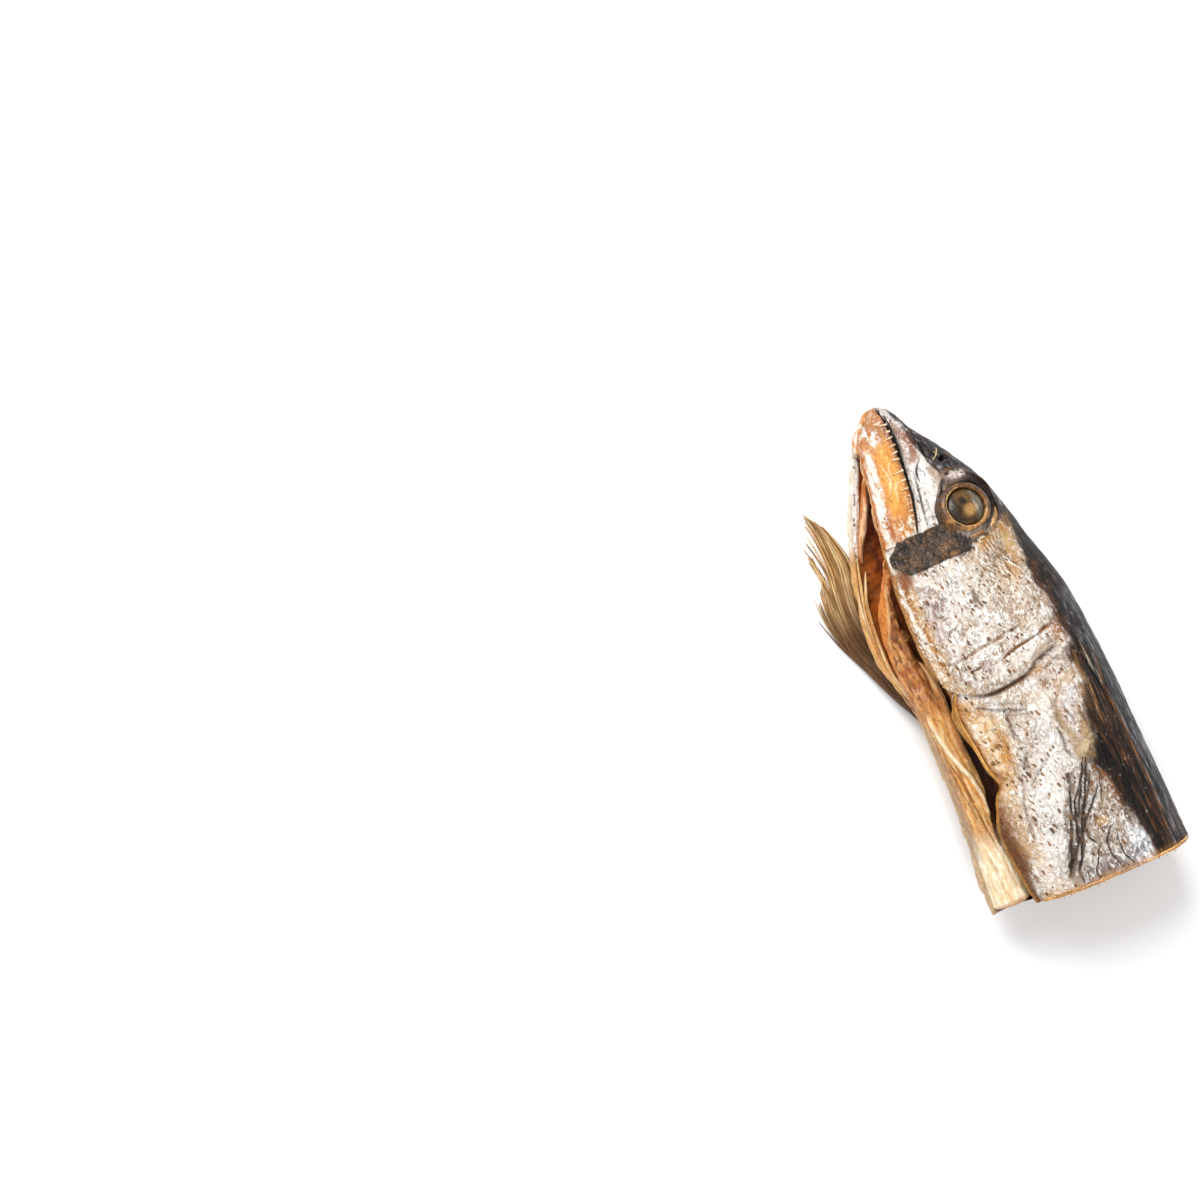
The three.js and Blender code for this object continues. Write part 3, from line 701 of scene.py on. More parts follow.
dark_back_edge = profile(
    (-3, 15.6), (4.8, 15.2), (7.8, 14.3), (12.2, 13.4), (15.6, 12.3), (19.5, 11.9), (22.6, 10.4),
    (27.4, 12.8),
    (30.8, 13.6), (36, 14.5), (40, 16.2), (44, 16.2), (47, 14.8), (51, 17), (55, 15.8), (60, 16.1),
    (66, 14.9),
    (77, 14.7), (80, 14.2), (84, 13.2), (88, 12.4), (91, 11.2), (93.4, 10.2), (95, 8.4), (96.4, 5.4),
    (100, 4.1),
    (104, 2.4), (110, 1.2), (115, -1.2),
)
brown_line_height = profile(
    (-2, 19.3), (7, 20.1), (25, 20.2), (31, 19.9), (35, 19.5), (46, 20.5), (60, 20.9), (80, 17)
)
near_edge_height = profile(
    (0, -13.7), (4.8, -14.3), (10, -14.8), (15, -15), (19, -13.9), (22.6, -12.8), (25.2, -11.5),
    (26.5, -10.7),
    (30.8, -12), (35, -12.4), (40, -13.2), (43.4, -13.7), (46.7, -12.7), (49.1, -11.4), (50.7, -12.9),
    (55, -14),
    (60, -14.6), (70, -14.5), (75, -14.2), (80, -13.6), (87, -12.8), (93.7, -11.7), (102, -10.2), (107, -9),
    (110, -7.8), (113.8, -6.8), (115, -3.5),
)
gill_edge_seen = profile(
    (-13.9, 53), (-12.9, 50.7), (-11.3, 49.1), (-9, 47.5), (-7, 46.6), (-2.7, 46), (0.4, 46.2), (3.5, 46.6),
    (6.3, 47.5),
    (8.6, 48.7), (12.6, 49.9), (15.5, 51.5),
)
mouth_seen = profile(
    (85.5, -4.8), (88.7, -3.7), (91.3, -3), (94, -2.3), (97, -1.9), (100, -1.5), (103, -1.2), (106, -0.8),
    (109, -0.7),
    (113, -0.9), (115, -2),
)
NOSTRIL_SPOTS = [((98.7, 7.2), (0.55, 0.8)), ((95.2, 6.8), (0.38, 0.65))]

# The folded fin of the upper flank: its rays as dark grooves, each with how dark and how wide it is.
FIN_FOLDS = [
    ([(24.4, 8.7), (22, 7.6), (19, 5.6), (16.5, 3.6), (13, 2), (9.5, 0.9), (7, 0), (4, -2.4), (0.8, -4.9)],
        1.0, 0.22),
    ([(24.2, 9.4), (20.5, 7.9), (17, 6.1), (14.6, 4.7), (12, 3.2), (9, 2), (6.5, 0.8), (4, -0.6), (1, -2.6)],
        1.0, 0.4),
    ([(17.8, 9.5), (15.3, 7.8), (13, 5.6), (11, 3.6), (9, 2.3)], 0.9, 0.2),
    ([(21.5, 4.4), (17, 2.4), (13, 0.9), (10, -0.6), (7.5, -1.8), (4.5, -3.6)], 0.75, 0.22),
    ([(9.8, 2.9), (7.5, 2.8), (5.5, 3.7)], 1.0, 0.2),
    ([(8.2, 9.6), (7, 7.5), (4.5, 6), (1.5, 5.9), (-1, 7)], 0.85, 0.16),
    ([(6.5, 1.4), (3.5, -0.6), (1.2, -2.1), (-1.6, -2.2)], 1.0, 0.24),
    ([(22.8, 8.3), (19.5, 6.4), (16, 4.2), (12, 2.4)], 0.8, 0.16),
    ([(5.2, -1.9), (3, -3.6), (1.3, -4.4)], 0.9, 0.18),
    ([(21.2, 9.2), (18.2, 7.6), (15.8, 5.9), (13.2, 4.4)], 0.7, 0.14),
    ([(11.5, 0.4), (8.5, -0.9), (5, -2.6), (2.5, -4)], 0.7, 0.14),
    ([(20, 10.9), (16.4, 9.7), (13, 8.4), (11.4, 6.6)], 0.55, 0.14),
    ([(5, 4.6), (2.6, 3), (0, 1.6), (-2, 1.2)], 0.5, 0.14),
    ([(6, 9), (3, 8.4), (0, 8.9), (-2, 9.8)], 0.55, 0.14),
]
SHOULDER_CREASES = [
    ([(39.2, 2), (40.2, -1.6), (41.7, -5), (43.2, -7.4), (44.4, -9.4)], 0.75, 0.18),
    ([(38.3, 1.8), (39.3, -2), (40.8, -5.2)], 0.45, 0.16),
    ([(41.2, 0.2), (42.8, -3.8), (44.2, -6.6)], 0.4, 0.16),
    ([(30.5, -2.4), (28.4, -3.6), (26.2, -4.8)], 0.85, 0.22),
    ([(27.5, 2), (25.5, -1.2), (23.4, -4), (21.9, -5.4)], 0.55, 0.18),
    ([(41.5, -3.3), (37.5, -3.4), (35, -3.7), (33.3, -3.5)], 0.85, 0.2),
    ([(47.4, 13), (46.7, 10.8), (46, 8.6)], 0.8, 0.3),
    ([(25, 6.6), (27.5, 6.1), (30, 6.4), (33, 6.1)], 0.85, 0.35),
    ([(22.5, 4.4), (21.2, 3.7), (20, 3.5)], 0.9, 0.18),
    ([(35, 1.8), (32.5, 0.8), (30.4, 2)], 0.5, 0.16),
    ([(26, -5.4), (20, -7.6), (15, -8.6), (12.5, -8.4)], 0.6, 0.3),
    ([(14.4, -9.2), (12.8, -9), (11.4, -8.6)], 0.9, 0.14),
    ([(40, 9.6), (37, 7.6), (33.5, 7), (31, 7.6)], 0.5, 0.25),
]
COVER_CREASES = [
    ([(54.6, 14.9), (54.2, 12.9), (53.7, 10.8)], 1.0, 0.5),
    ([(53.8, 11), (53.4, 8.6), (53, 5.9), (52.4, 3.1), (51.5, 0.5)], 1.0, 0.2),
    ([(57.5, 8.6), (56.9, 5.8), (56.5, 3.4), (56.2, 1.2), (55.9, -2.7), (55.2, -6.6), (55.3, -9.8),
        (56, -11.5)], 0.7, 0.2),
    ([(49.9, 13.2), (49, 9.6), (48.3, 7.4), (47.8, 6.4)], 0.8, 0.18),
    ([(52.3, -3.6), (51.9, -4.8), (52, -6.2)], 0.9, 0.16),
    ([(61.4, -3), (60.2, -4.6), (58.6, -5.4)], 0.8, 0.16),
    ([(71.5, 14.8), (66, 13.2), (61.5, 10.6)], 0.4, 0.14),
]
BACK_SEAM = [(50, 18.3), (46, 18.1), (41, 18.9), (37, 19.5), (32, 19.4)]
FIN_CURL = [(9.7, 9.3), (10.8, 7.8), (10.3, 6), (8.8, 5.2), (7.9, 6.6), (8.3, 8.4)]
FIN_RIM = [(22.8, 8.7), (21.6, 10), (19.4, 11.3), (16, 12), (12, 12.4), (8.5, 11.4)]
TEMPLE_WRINKLES = [
    [(79.5 - 0.5 * k, 12.6 - 0.95 * k), (73.5 + 0.4 * math.sin(2 * k), 11.6 - 0.55 * k),
        (67 + 2.5 * math.sin(1.7 * k), 14.6 - 1.45 * k)]
    for k in range(11)
]
SHINY = [(6.4, 12.6), (5, 14.6), (2, 15), (-4, 15), (-4, 9.4), (-0.5, 9.6), (1.6, 11), (4, 11.4)]
SNOUT_LINES = [
    ([(100.6, 2.6), (99.4, 1.4), (98, 0.6), (96.4, 0.4), (95, 0.5)], 0.95, 0.14),
    ([(98.6, 0), (95, -0.4), (92, -1), (89, -1.5), (85.7, -2)], 0.9, 0.13),
    ([(105, 3.8), (102, 4.1), (99.5, 4.2), (96.5, 5.4), (95, 5.6)], 0.9, 0.2),
    ([(94.6, 5.9), (92.8, 4.3), (90.6, 3.1), (88.3, 2), (85.8, 1.5)], 1.0, 0.42),
    ([(92, -0.2), (88.6, 0.2), (86, 0.1)], 0.5, 0.12),
]


def skin_sight(station, height, offset, side):
    """Where a point of a flank lies in the camera's picture. The lower flank is painted as the mirror image
    of the upper one, drawn out to its longer belly."""
    if side == LOWER:
        reach = (upper_rim_height(station) + 2) / (lower_rim_height(station) + 2)
        height = np.where(height < -2, -2 + (height + 2) * reach, height)
    return seen_at(station, height, offset)


def skin_coat(u, v, offset, side):
    """The skin's colours: chalky silver with tan and grey clouds, a dark back, and what each part shows."""
    here = joined(u, v, side * offset)
    drift, slip = rough(here, 6, 3, 4), rough(here, 6, 9, 4)
    x, y = u + 0.9 * drift, v + 0.7 * slip
    fine = rough(here, (2.4, 1.1, 1.4), 15, 3)
    speck = rough(here, (1.5, 0.85, 1), 18, 3, 0.6)
    along = rough(here, (9, 0.7, 0.8), 51, 4, 0.6)
    clouds = [rough(here, (8, 4, 5), seed, 4, 0.65) for seed in (21, 27, 33)]
    area, stroke, dab = (functools.partial(*shape) for shape in ((within, x, y), (mark, u, v), (blot, x, y)))
    coat = Coat(len(u), "#e6dacd", pores=0.7, chalk=0.75, streaks=0.0)
    lay = coat.lay
    lay("#a5896c", smooth(clouds[0], 0.05, 0.6) * 0.6, chalk=0.2)
    lay("#bf925f", smooth(clouds[1], 0.05, 0.6) * 0.6, chalk=0.3)
    lay("#f8f5f0", smooth(clouds[2], 0.0, 0.45) * 0.8, chalk=1)

    # Shoulder and belly, from the cut to the gill cover.
    trunk = fall(x, 46, 48)
    rear_belly = trunk * fall(x, 24, 29)
    # Painted shade: the rear belly darkens towards its lower edge, where it curves away from the light.
    lay("#cfa878", rear_belly * smooth(-y, 5.6, 10) * 0.8, pores=0.4, chalk=0.6)
    lay("#94602f", rear_belly * smooth(-y - 0.04 * x + 0.8 * fine, 9.4, 12) * 0.85, pores=0.3, chalk=0.15)
    lay("#5f3413", rear_belly * smooth(-y - 0.05 * x, 11.2, 13.2) * 0.85, pores=0.1, chalk=0)
    lay("#f0e6d8", trunk * area([(8, -9), (1, -9), (-1, -12.6), (4, -13), (8, -11.8)], 1.2)
        * smooth(fine, -0.4, 0.2) * 0.8, chalk=1)
    flush = area(
        [(47, -11), (42.5, -7.5), (40.5, -4.5), (36, -4.2), (30, -5.6), (25, -8), (24.5, -12), (30, -15),
            (49, -15)], 1.6
    )
    lay("#d9a35a", flush * 0.85, pores=0.5, chalk=0.3)
    # Painted highlights: pale patches over the gold belly flap.
    lay("#f3dfbe", flush * smooth(clouds[2] + 0.5 * speck, 0, 0.45) * 0.8, chalk=0.8)
    lay("#c28630", flush * smooth(-clouds[2] - 0.5 * fine, 0, 0.4) * 0.7)
    lay("#b06c18", flush * smooth(near_edge_height(u) + 2.6 - v, 0, 2.2) * 0.85, pores=0.2, chalk=0)
    crossing = area(
        [(14, 1), (24, 5), (30, 6), (38, 2), (30, -2), (20, -5), (6, -9), (1, -11), (0, -5), (8, -1)], 2.5
    )
    lay("#f1ebe4", trunk * crossing * 0.65, pores=0.85, chalk=0.95)
    lay("#bf9468", trunk * area([(46, -3), (46, 9), (40, 12), (36, 10), (34, 6), (38, 3), (40, -2)], 2)
        * smooth(fine, -0.1, 0.4) * 0.6)
    lay("#94735a", trunk * dab((43.2, 7.6), (1.7, 0.8), -0.3) * 0.8)
    lay("#8f6a4c", trunk * dab((44.4, 12.2), (1.2, 2.4), 0.3) * 0.5)
    lay("#b08a5a", dab((47.5, -6.5), (1.2, 3)) * 0.7)
    # Painted shadow: a tan-brown band on the body just behind the gill cover's edge.
    lay("#a27a50", trunk * area([(47, 10), (46.4, 3), (45.4, -4), (44.2, -4), (44.6, 4), (45.4, 10)], 0.7)
        * 0.6)

    # The dark back.
    line = dark_back_edge(x)
    wooden = fall(x, 50, 62)
    back = smooth(y + 0.5 * fine + 1.1 * along * wooden, line - 0.6 - wooden, line + 0.6 + 0.5 * wooden)
    lay("#85603d", smooth(y + 0.8 * along, line - 2.6, line + 0.2) * (0.3 + 0.5 * wooden), pores=0.3,
        chalk=0.1)
    lay("#2f1e15", back, streaks=1, pores=0.0, chalk=0)
    lay("#744825", back * smooth(along, -0.05, 0.35) * fall(y, 18.6, 20.4) * fall(x, 62, 70) * 0.85)
    lay("#150f0d", back * smooth(-along, 0.05, 0.45) * 0.85)
    lay("#b5824c", area([(47.5, 15.6), (44, 17.4), (40, 17.9), (28, 17.6), (30, 15.6), (38, 14.8)], 1.2)
        * smooth(along, -0.3, 0.3) * 0.75)
    lay("#1d1512", area([(29, 14.4), (18, 16.5), (2, 16.6), (2, 15), (13, 13), (20, 11.4), (24, 10.6),
        (27, 12.6)], 0.9) * 0.6)
    top = smooth(y, brown_line_height(x) - 0.3, brown_line_height(x) + 0.4)
    head = smooth(x, 66, 84)
    # The grey top of the back is partly the skin's own grey and partly a painted sheen, with lighter and
    # darker streaks.
    lay("#5f5b5e", back * top * 0.9, streaks=0.9)
    lay("#a3a0a3", back * top * smooth(along, 0.05, 0.45) * 0.85)
    lay("#2c2829", back * top * smooth(-along, 0.05, 0.4) * 0.8)
    lay("#47301f", back * top * fall(x, 8, 22) * smooth(clouds[0], -0.4, 0.3) * 0.7)
    lay("#1f1a19", back * head * 0.85, streaks=0.8)
    lay("#67636a", back * head * smooth(along, 0.15, 0.5) * 0.8)
    lay("#443f44", back * area([(64, 22), (50, 23), (47, 18.5), (58, 17.6), (64, 18.5)], 1.5) * 0.6)
    lay("#8c8a92", back * area([(62, 21.2), (52, 22), (48, 20), (54, 18.6), (61, 18.6)], 1.2)
        * smooth(fine, 0, 0.35) * 0.75)
    lay("#85502a", back * dab((67.4, 16.3), (1.8, 0.8), 0.2) * 0.9)
    lay("#7a5233", back * area([(60, 17.4), (52, 17.8), (48, 16.8), (51, 15.8), (59, 16)], 0.8)
        * smooth(fine, -0.2, 0.3) * 0.8)
    lay("#a86a2c", mark(u, v + 0.15 * fine, [(46, 20.7), (40, 20), (35, 19.6), (31, 20), (20, 20.3),
        (7, 20.2), (0, 19.4)], 0.14, 0.26) * 0.95)
    lay("#0e0a09", stroke(BACK_SEAM, 0.14, 0.4) * 0.95)
    # Painted highlight: a pale line beside the seam's groove.
    lay("#c9b9a8", stroke([(49, 18.9), (45, 18.8), (41, 19.4), (37, 20)], 0.1, 0.22) * 0.7)
    lay("#c9c2ba", back * smooth(rough(here, (0.8, 0.5, 0.5), 61, 2), 0.62, 0.72) * (1 - top) * 0.7)

    if side == UPPER:
        paint_shoulder_fin(coat, here, x, y, fine)
    lay("#a98757", area([(36, 8.5), (35, 6.8), (27, 7), (24, 8), (23.6, 11.4), (26.5, 12.8), (33, 12.4),
        (31, 10.8), (27.5, 10.2), (31, 8.8)], 1) * 0.85, pores=0.1, chalk=0.1)
    lay("#d8c79c", dab((26.4, 10), (1.5, 1.3), 0.4) * 0.7)
    lay("#4f3b28", area([(31, 13.6), (25.8, 12.8), (23.8, 10.4), (24.6, 10.2), (27, 11.8), (31.6, 12.4)], 0.6)
        * smooth(fine, -0.3, 0.3) * 0.7)
    lay("#d9d2d2", area([(40, 14.4), (35, 11.6), (33, 9.6), (38, 9), (41, 11.5)], 1) * smooth(fine, -0.3, 0.2)
        * 0.85, chalk=1)
    lay("#6f6a72", stroke([(38, 9.6), (35.4, 9.8), (33, 10.6)], 0.14, 0.3) * 0.7)
    for points, dark, width in SHOULDER_CREASES:
        lay("#5f4129", stroke(points, width, 0.26) * dark, chalk=0)
        # Painted highlight: a pale line beside each crease.
        lay("#fbf6ee", mark(u - 0.1, v + 0.45, points, width * 0.6, 0.22) * dark * 0.6, chalk=1)

    # Gill cover and cheek.
    cheek = smooth(x, 46.5, 48.5) * fall(x, 78, 80) * (1 - back)
    lay("#ddcfc0", cheek * 0.4, pores=1, chalk=0.85)
    lay("#faf6f1", cheek * area([(77, 2), (77, -8), (73, -9), (68, -3), (60, 3), (57, 12), (52, 12), (50, 2),
        (58, -2), (66, 2)], 2) * smooth(clouds[2] + 0.3 * fine, -0.3, 0.3) * 0.85, chalk=1)
    lay("#a98560", cheek * smooth(fine + 0.7 * clouds[0], 0.3, 0.85) * 0.5, chalk=0.3)
    lay("#845a3c", cheek * smooth(speck, 0.46, 0.62) * 0.75)
    temple = area([(81, 15), (74, 14.6), (68, 14), (66, 10), (70, 7.5), (76, 6.5), (79.5, 7)], 1.5)
    lay("#cc9f62", temple * 0.8, pores=0.3, chalk=0.3)
    lay("#a5742f", temple * smooth(x, 72, 77.5) * 0.75, pores=0.0)
    lay("#a8733a", temple * dab((70.5, 13.2), (4, 1.6), -0.2) * 0.5)
    lay("#dcc690", dab((76.6, 12.4), (1.6, 1.6)) * 0.5)
    for points in TEMPLE_WRINKLES:
        lay("#7a5226", mark(x, y, points, 0.16, 0.22) * 0.95, pores=0.2)
        # Painted highlight: a pale line beside each wrinkle.
        lay("#f8f0de", mark(x, y + 0.48, points, 0.16, 0.22) * 0.85)
    lay("#7f685a", dab((67.6, 1), (1.2, 0.7), 0.2) * 0.85)
    lay("#6b5344", dab((65.7, 0.9), (0.8, 0.9), 0.6) * 0.8)
    lay("#a08480", cheek * area([(78, -10), (73, -8.6), (69, -5.4), (66.5, -5.2), (63, -8), (60, -10),
        (62, -11.6), (78, -11.8)], 1) * smooth(fine, -0.5, 0.3) * 0.7, chalk=0.2)
    for tip, foot in (
        ((71, -5.6), (73.6, -9.6)), ((68, -5.2), (69.4, -9.6)), ((65.5, -5.8), (67, -9.4)),
        ((62.6, -4.8), (61.4, -8)), ((69.5, -4.6), (70.4, -7))
    ):
        lay("#82655c", mark(x, y, [tip, foot], 0.4, 0.5) * 0.75)
    lay("#a4857c", dab((51.6, -2.8), (2.6, 1.3), 0.1) * 0.65)
    low = smooth(-y, 9.8, 11) * fall(-y, 13.6, 14.6)
    lay("#d0a975", smooth(x, 49, 52) * cheek * low * 0.75, pores=0.3)
    lay("#b1772f", cheek * mark(x, y, [(77, -12.2), (70, -12.3), (63, -12.1), (58.5, -11.9), (55.5, -11.4)],
        0.3, 0.5, False) * 0.85)
    lay("#fbf5ea", cheek * mark(x, y, [(76, -13.2), (70, -13.2), (62, -13.2), (57, -12.6)], 0.3, 0.4)
        * smooth(speck, -0.5, 0) * 0.85, chalk=1)
    lay("#b9762a", cheek * smooth(near_edge_height(u) + 0.8 - v, 0, 0.5) * 0.85)
    lay("#7e3f22", area([(79, -10.4), (75.6, -10.2), (74, -12), (76, -13.2), (79, -13)], 0.8) * 0.8,
        pores=0.1, chalk=0)
    lay("#a9682a", dab((76.9, -7.9), (0.9, 0.7)) * 0.8)
    lay("#a86a30", stroke([(77.2, 3), (77.1, -2), (77.1, -8)], 0.1, 0.25, False) * smooth(speck, -0.3, 0.3)
        * 0.8)
    gill = gill_edge_seen(v)
    # Painted shade: a grey band on the cover just before its rear edge.
    lay("#a3907c", smooth(u, gill + 0.1, gill + 0.7) * fall(u, gill + 1.4, gill + 2.6) * smooth(v, -9, -6.5)
        * fall(v, 13, 15) * 0.75, pores=0.3, chalk=0.5)
    lay("#bf9a6c", smooth(u, gill + 0.2, gill + 0.6) * fall(u, gill + 1.5, gill + 3) * fall(v, -8.5, -6.5)
        * 0.8, pores=0.1)
    # Painted shadow: a dark brown line behind the gill cover's raised rear edge.
    lay("#5a391b", near(u - gill + 0.45, 0.25, 0.75) * smooth(v, -8.5, -5) * fall(v, 11, 14) * 0.95,
        pores=0.1, chalk=0)
    lay("#b98343", stroke([(47.6, 11.6), (46.6, 8), (45.9, 5)], 0.3, 0.5) * 0.8)
    for points, dark, width in COVER_CREASES:
        lay("#8e5a26", stroke(points, width, 0.32) * dark, chalk=0, pores=0.1)
        # Painted highlight: a pale line beside each crease.
        lay("#fcf8f1", mark(u + 0.55, v, points, width * 0.5, 0.25) * dark * 0.7, chalk=1)
    lay("#2f1d12", blot(u, v, (57, 5.8), (0.4, 0.35)) * 0.95)
    lay("#3a2619", blot(u, v, (52, -6), (0.35, 0.45)) * 0.9)
    lay("#a4692f", area([(56, 16.2), (53, 16.4), (50, 15.6), (51.5, 13.6), (54.6, 14)], 0.8) * 0.8, pores=0)

    paint_head(coat, here, x, y, u, v, fine, along)
    lay("#b27c42", fall(u + 0.3 * fine, -1.9, -1.1) * 0.5, pores=0, chalk=0)
    return coat


def paint_shoulder_fin(coat, here, x, y, fine):
    """The upper flank's fin, dried flat against the shoulder."""
    u, v = here[..., 0], here[..., 1]
    lay, area, stroke = coat.lay, functools.partial(within, x, y), functools.partial(mark, u, v)
    field = area(
        [(25, 9.4), (20.5, 11), (14, 12), (8, 12.6), (5, 12), (-4, 12), (-4, -4), (2, -5.2), (8, -2.4),
            (14, -0.4), (19, 2.6), (23, 6)], 0.9
    )
    lay("#ab9a8b", field * 0.85, pores=0.7, chalk=0.7)
    lay("#ece5dd", field * smooth(fine, -0.05, 0.4) * 0.85, chalk=1)
    lay("#7b5433", field * smooth(rough(here, (1.8, 1.2, 9), 71, 3), 0.1, 0.5) * 0.75)
    lay("#8f5523", stroke(FIN_RIM, 0.35, 0.6) * 0.9, pores=0)
    lay("#d6c4a0", area([(19, 10.6), (14, 11.2), (10.5, 10.6), (12, 7.4), (16.5, 8.8)], 1)
        * smooth(fine, -0.2, 0.3) * 0.75, chalk=0.9)
    lay("#7f4f25", stroke(FIN_CURL, 0.16, 0.3) * 0.9)
    lay("#7f4f25", stroke([(11.6, 9.2), (12.4, 7.6), (11.6, 5.8), (10, 4.6)], 0.14, 0.28) * 0.75)
    lay("#d6a760", blot(u, v, (9.4, 7), (1.1, 1.4)) * 0.75)
    shiny = area(SHINY, 0.7)
    lay("#d3d4d8", shiny * 0.95, pores=0.0, chalk=1, streaks=0)
    # Painted highlights: bright white blotches on the silver patch.
    lay("#ffffff", shiny * smooth(fine, -0.05, 0.2) * 0.9)
    lay("#33251c", shiny * fall(wrinkled(here, (2.6, 1.3, 9), 131), 0.12, 0.32) * 0.9, chalk=0)
    lay("#523420", area([(14, 13.4), (5.5, 15.2), (5, 13), (9, 11.8), (12, 12.2)], 0.6)
        * smooth(fine, -0.3, 0.3) * 0.85)
    lay("#857a78", fall(x, 0.5, 2.5) * area([(3, 12), (3, -3), (-5, -3), (-5, 12)], 1.5) * 0.7)
    shade = area(
        [(22, 5.6), (18, 4.4), (12, 1.8), (6, -0.6), (1, -4.6), (6, -3.6), (12, -1), (18, 1.6), (22, 3.6)],
        0.7
    )
    lay("#75604f", shade * 0.8, pores=0.3, chalk=0.2)
    # Painted shade in the valley between the folded rays.
    valley = within(
        u, v, [(25, 9.8), (20, 8.6), (15, 6.6), (11, 4), (6, 0.8), (1, -2.4), (0.6, -4.8), (6, -2.6),
            (11, 0.2), (16, 3.2), (20.5, 6)], 0.5
    )
    lay("#4c3a2d", valley * 0.75, pores=0, chalk=0.1)
    slanting = joined(0.87 * u + 0.5 * v, 0.87 * v - 0.5 * u, here[..., 2])
    lay("#b9aa9a", valley * smooth(rough(slanting, (7, 0.9, 9), 75, 3), 0.05, 0.35) * 0.8, chalk=0.7)
    for points, dark, width in FIN_FOLDS:
        lay("#1c130c", mark(u + 0.3 * fine, v + 0.4 * fine, points, width * 0.4, 0.45) * dark * 0.8, pores=0,
            chalk=0)
        # Painted highlight: a pale line beside each ray.
        lay("#f3ede4", mark(u - 0.1, v + 0.55, points, 0.05, 0.22) * smooth(fine, -0.1, 0.25) * 0.7, chalk=1)


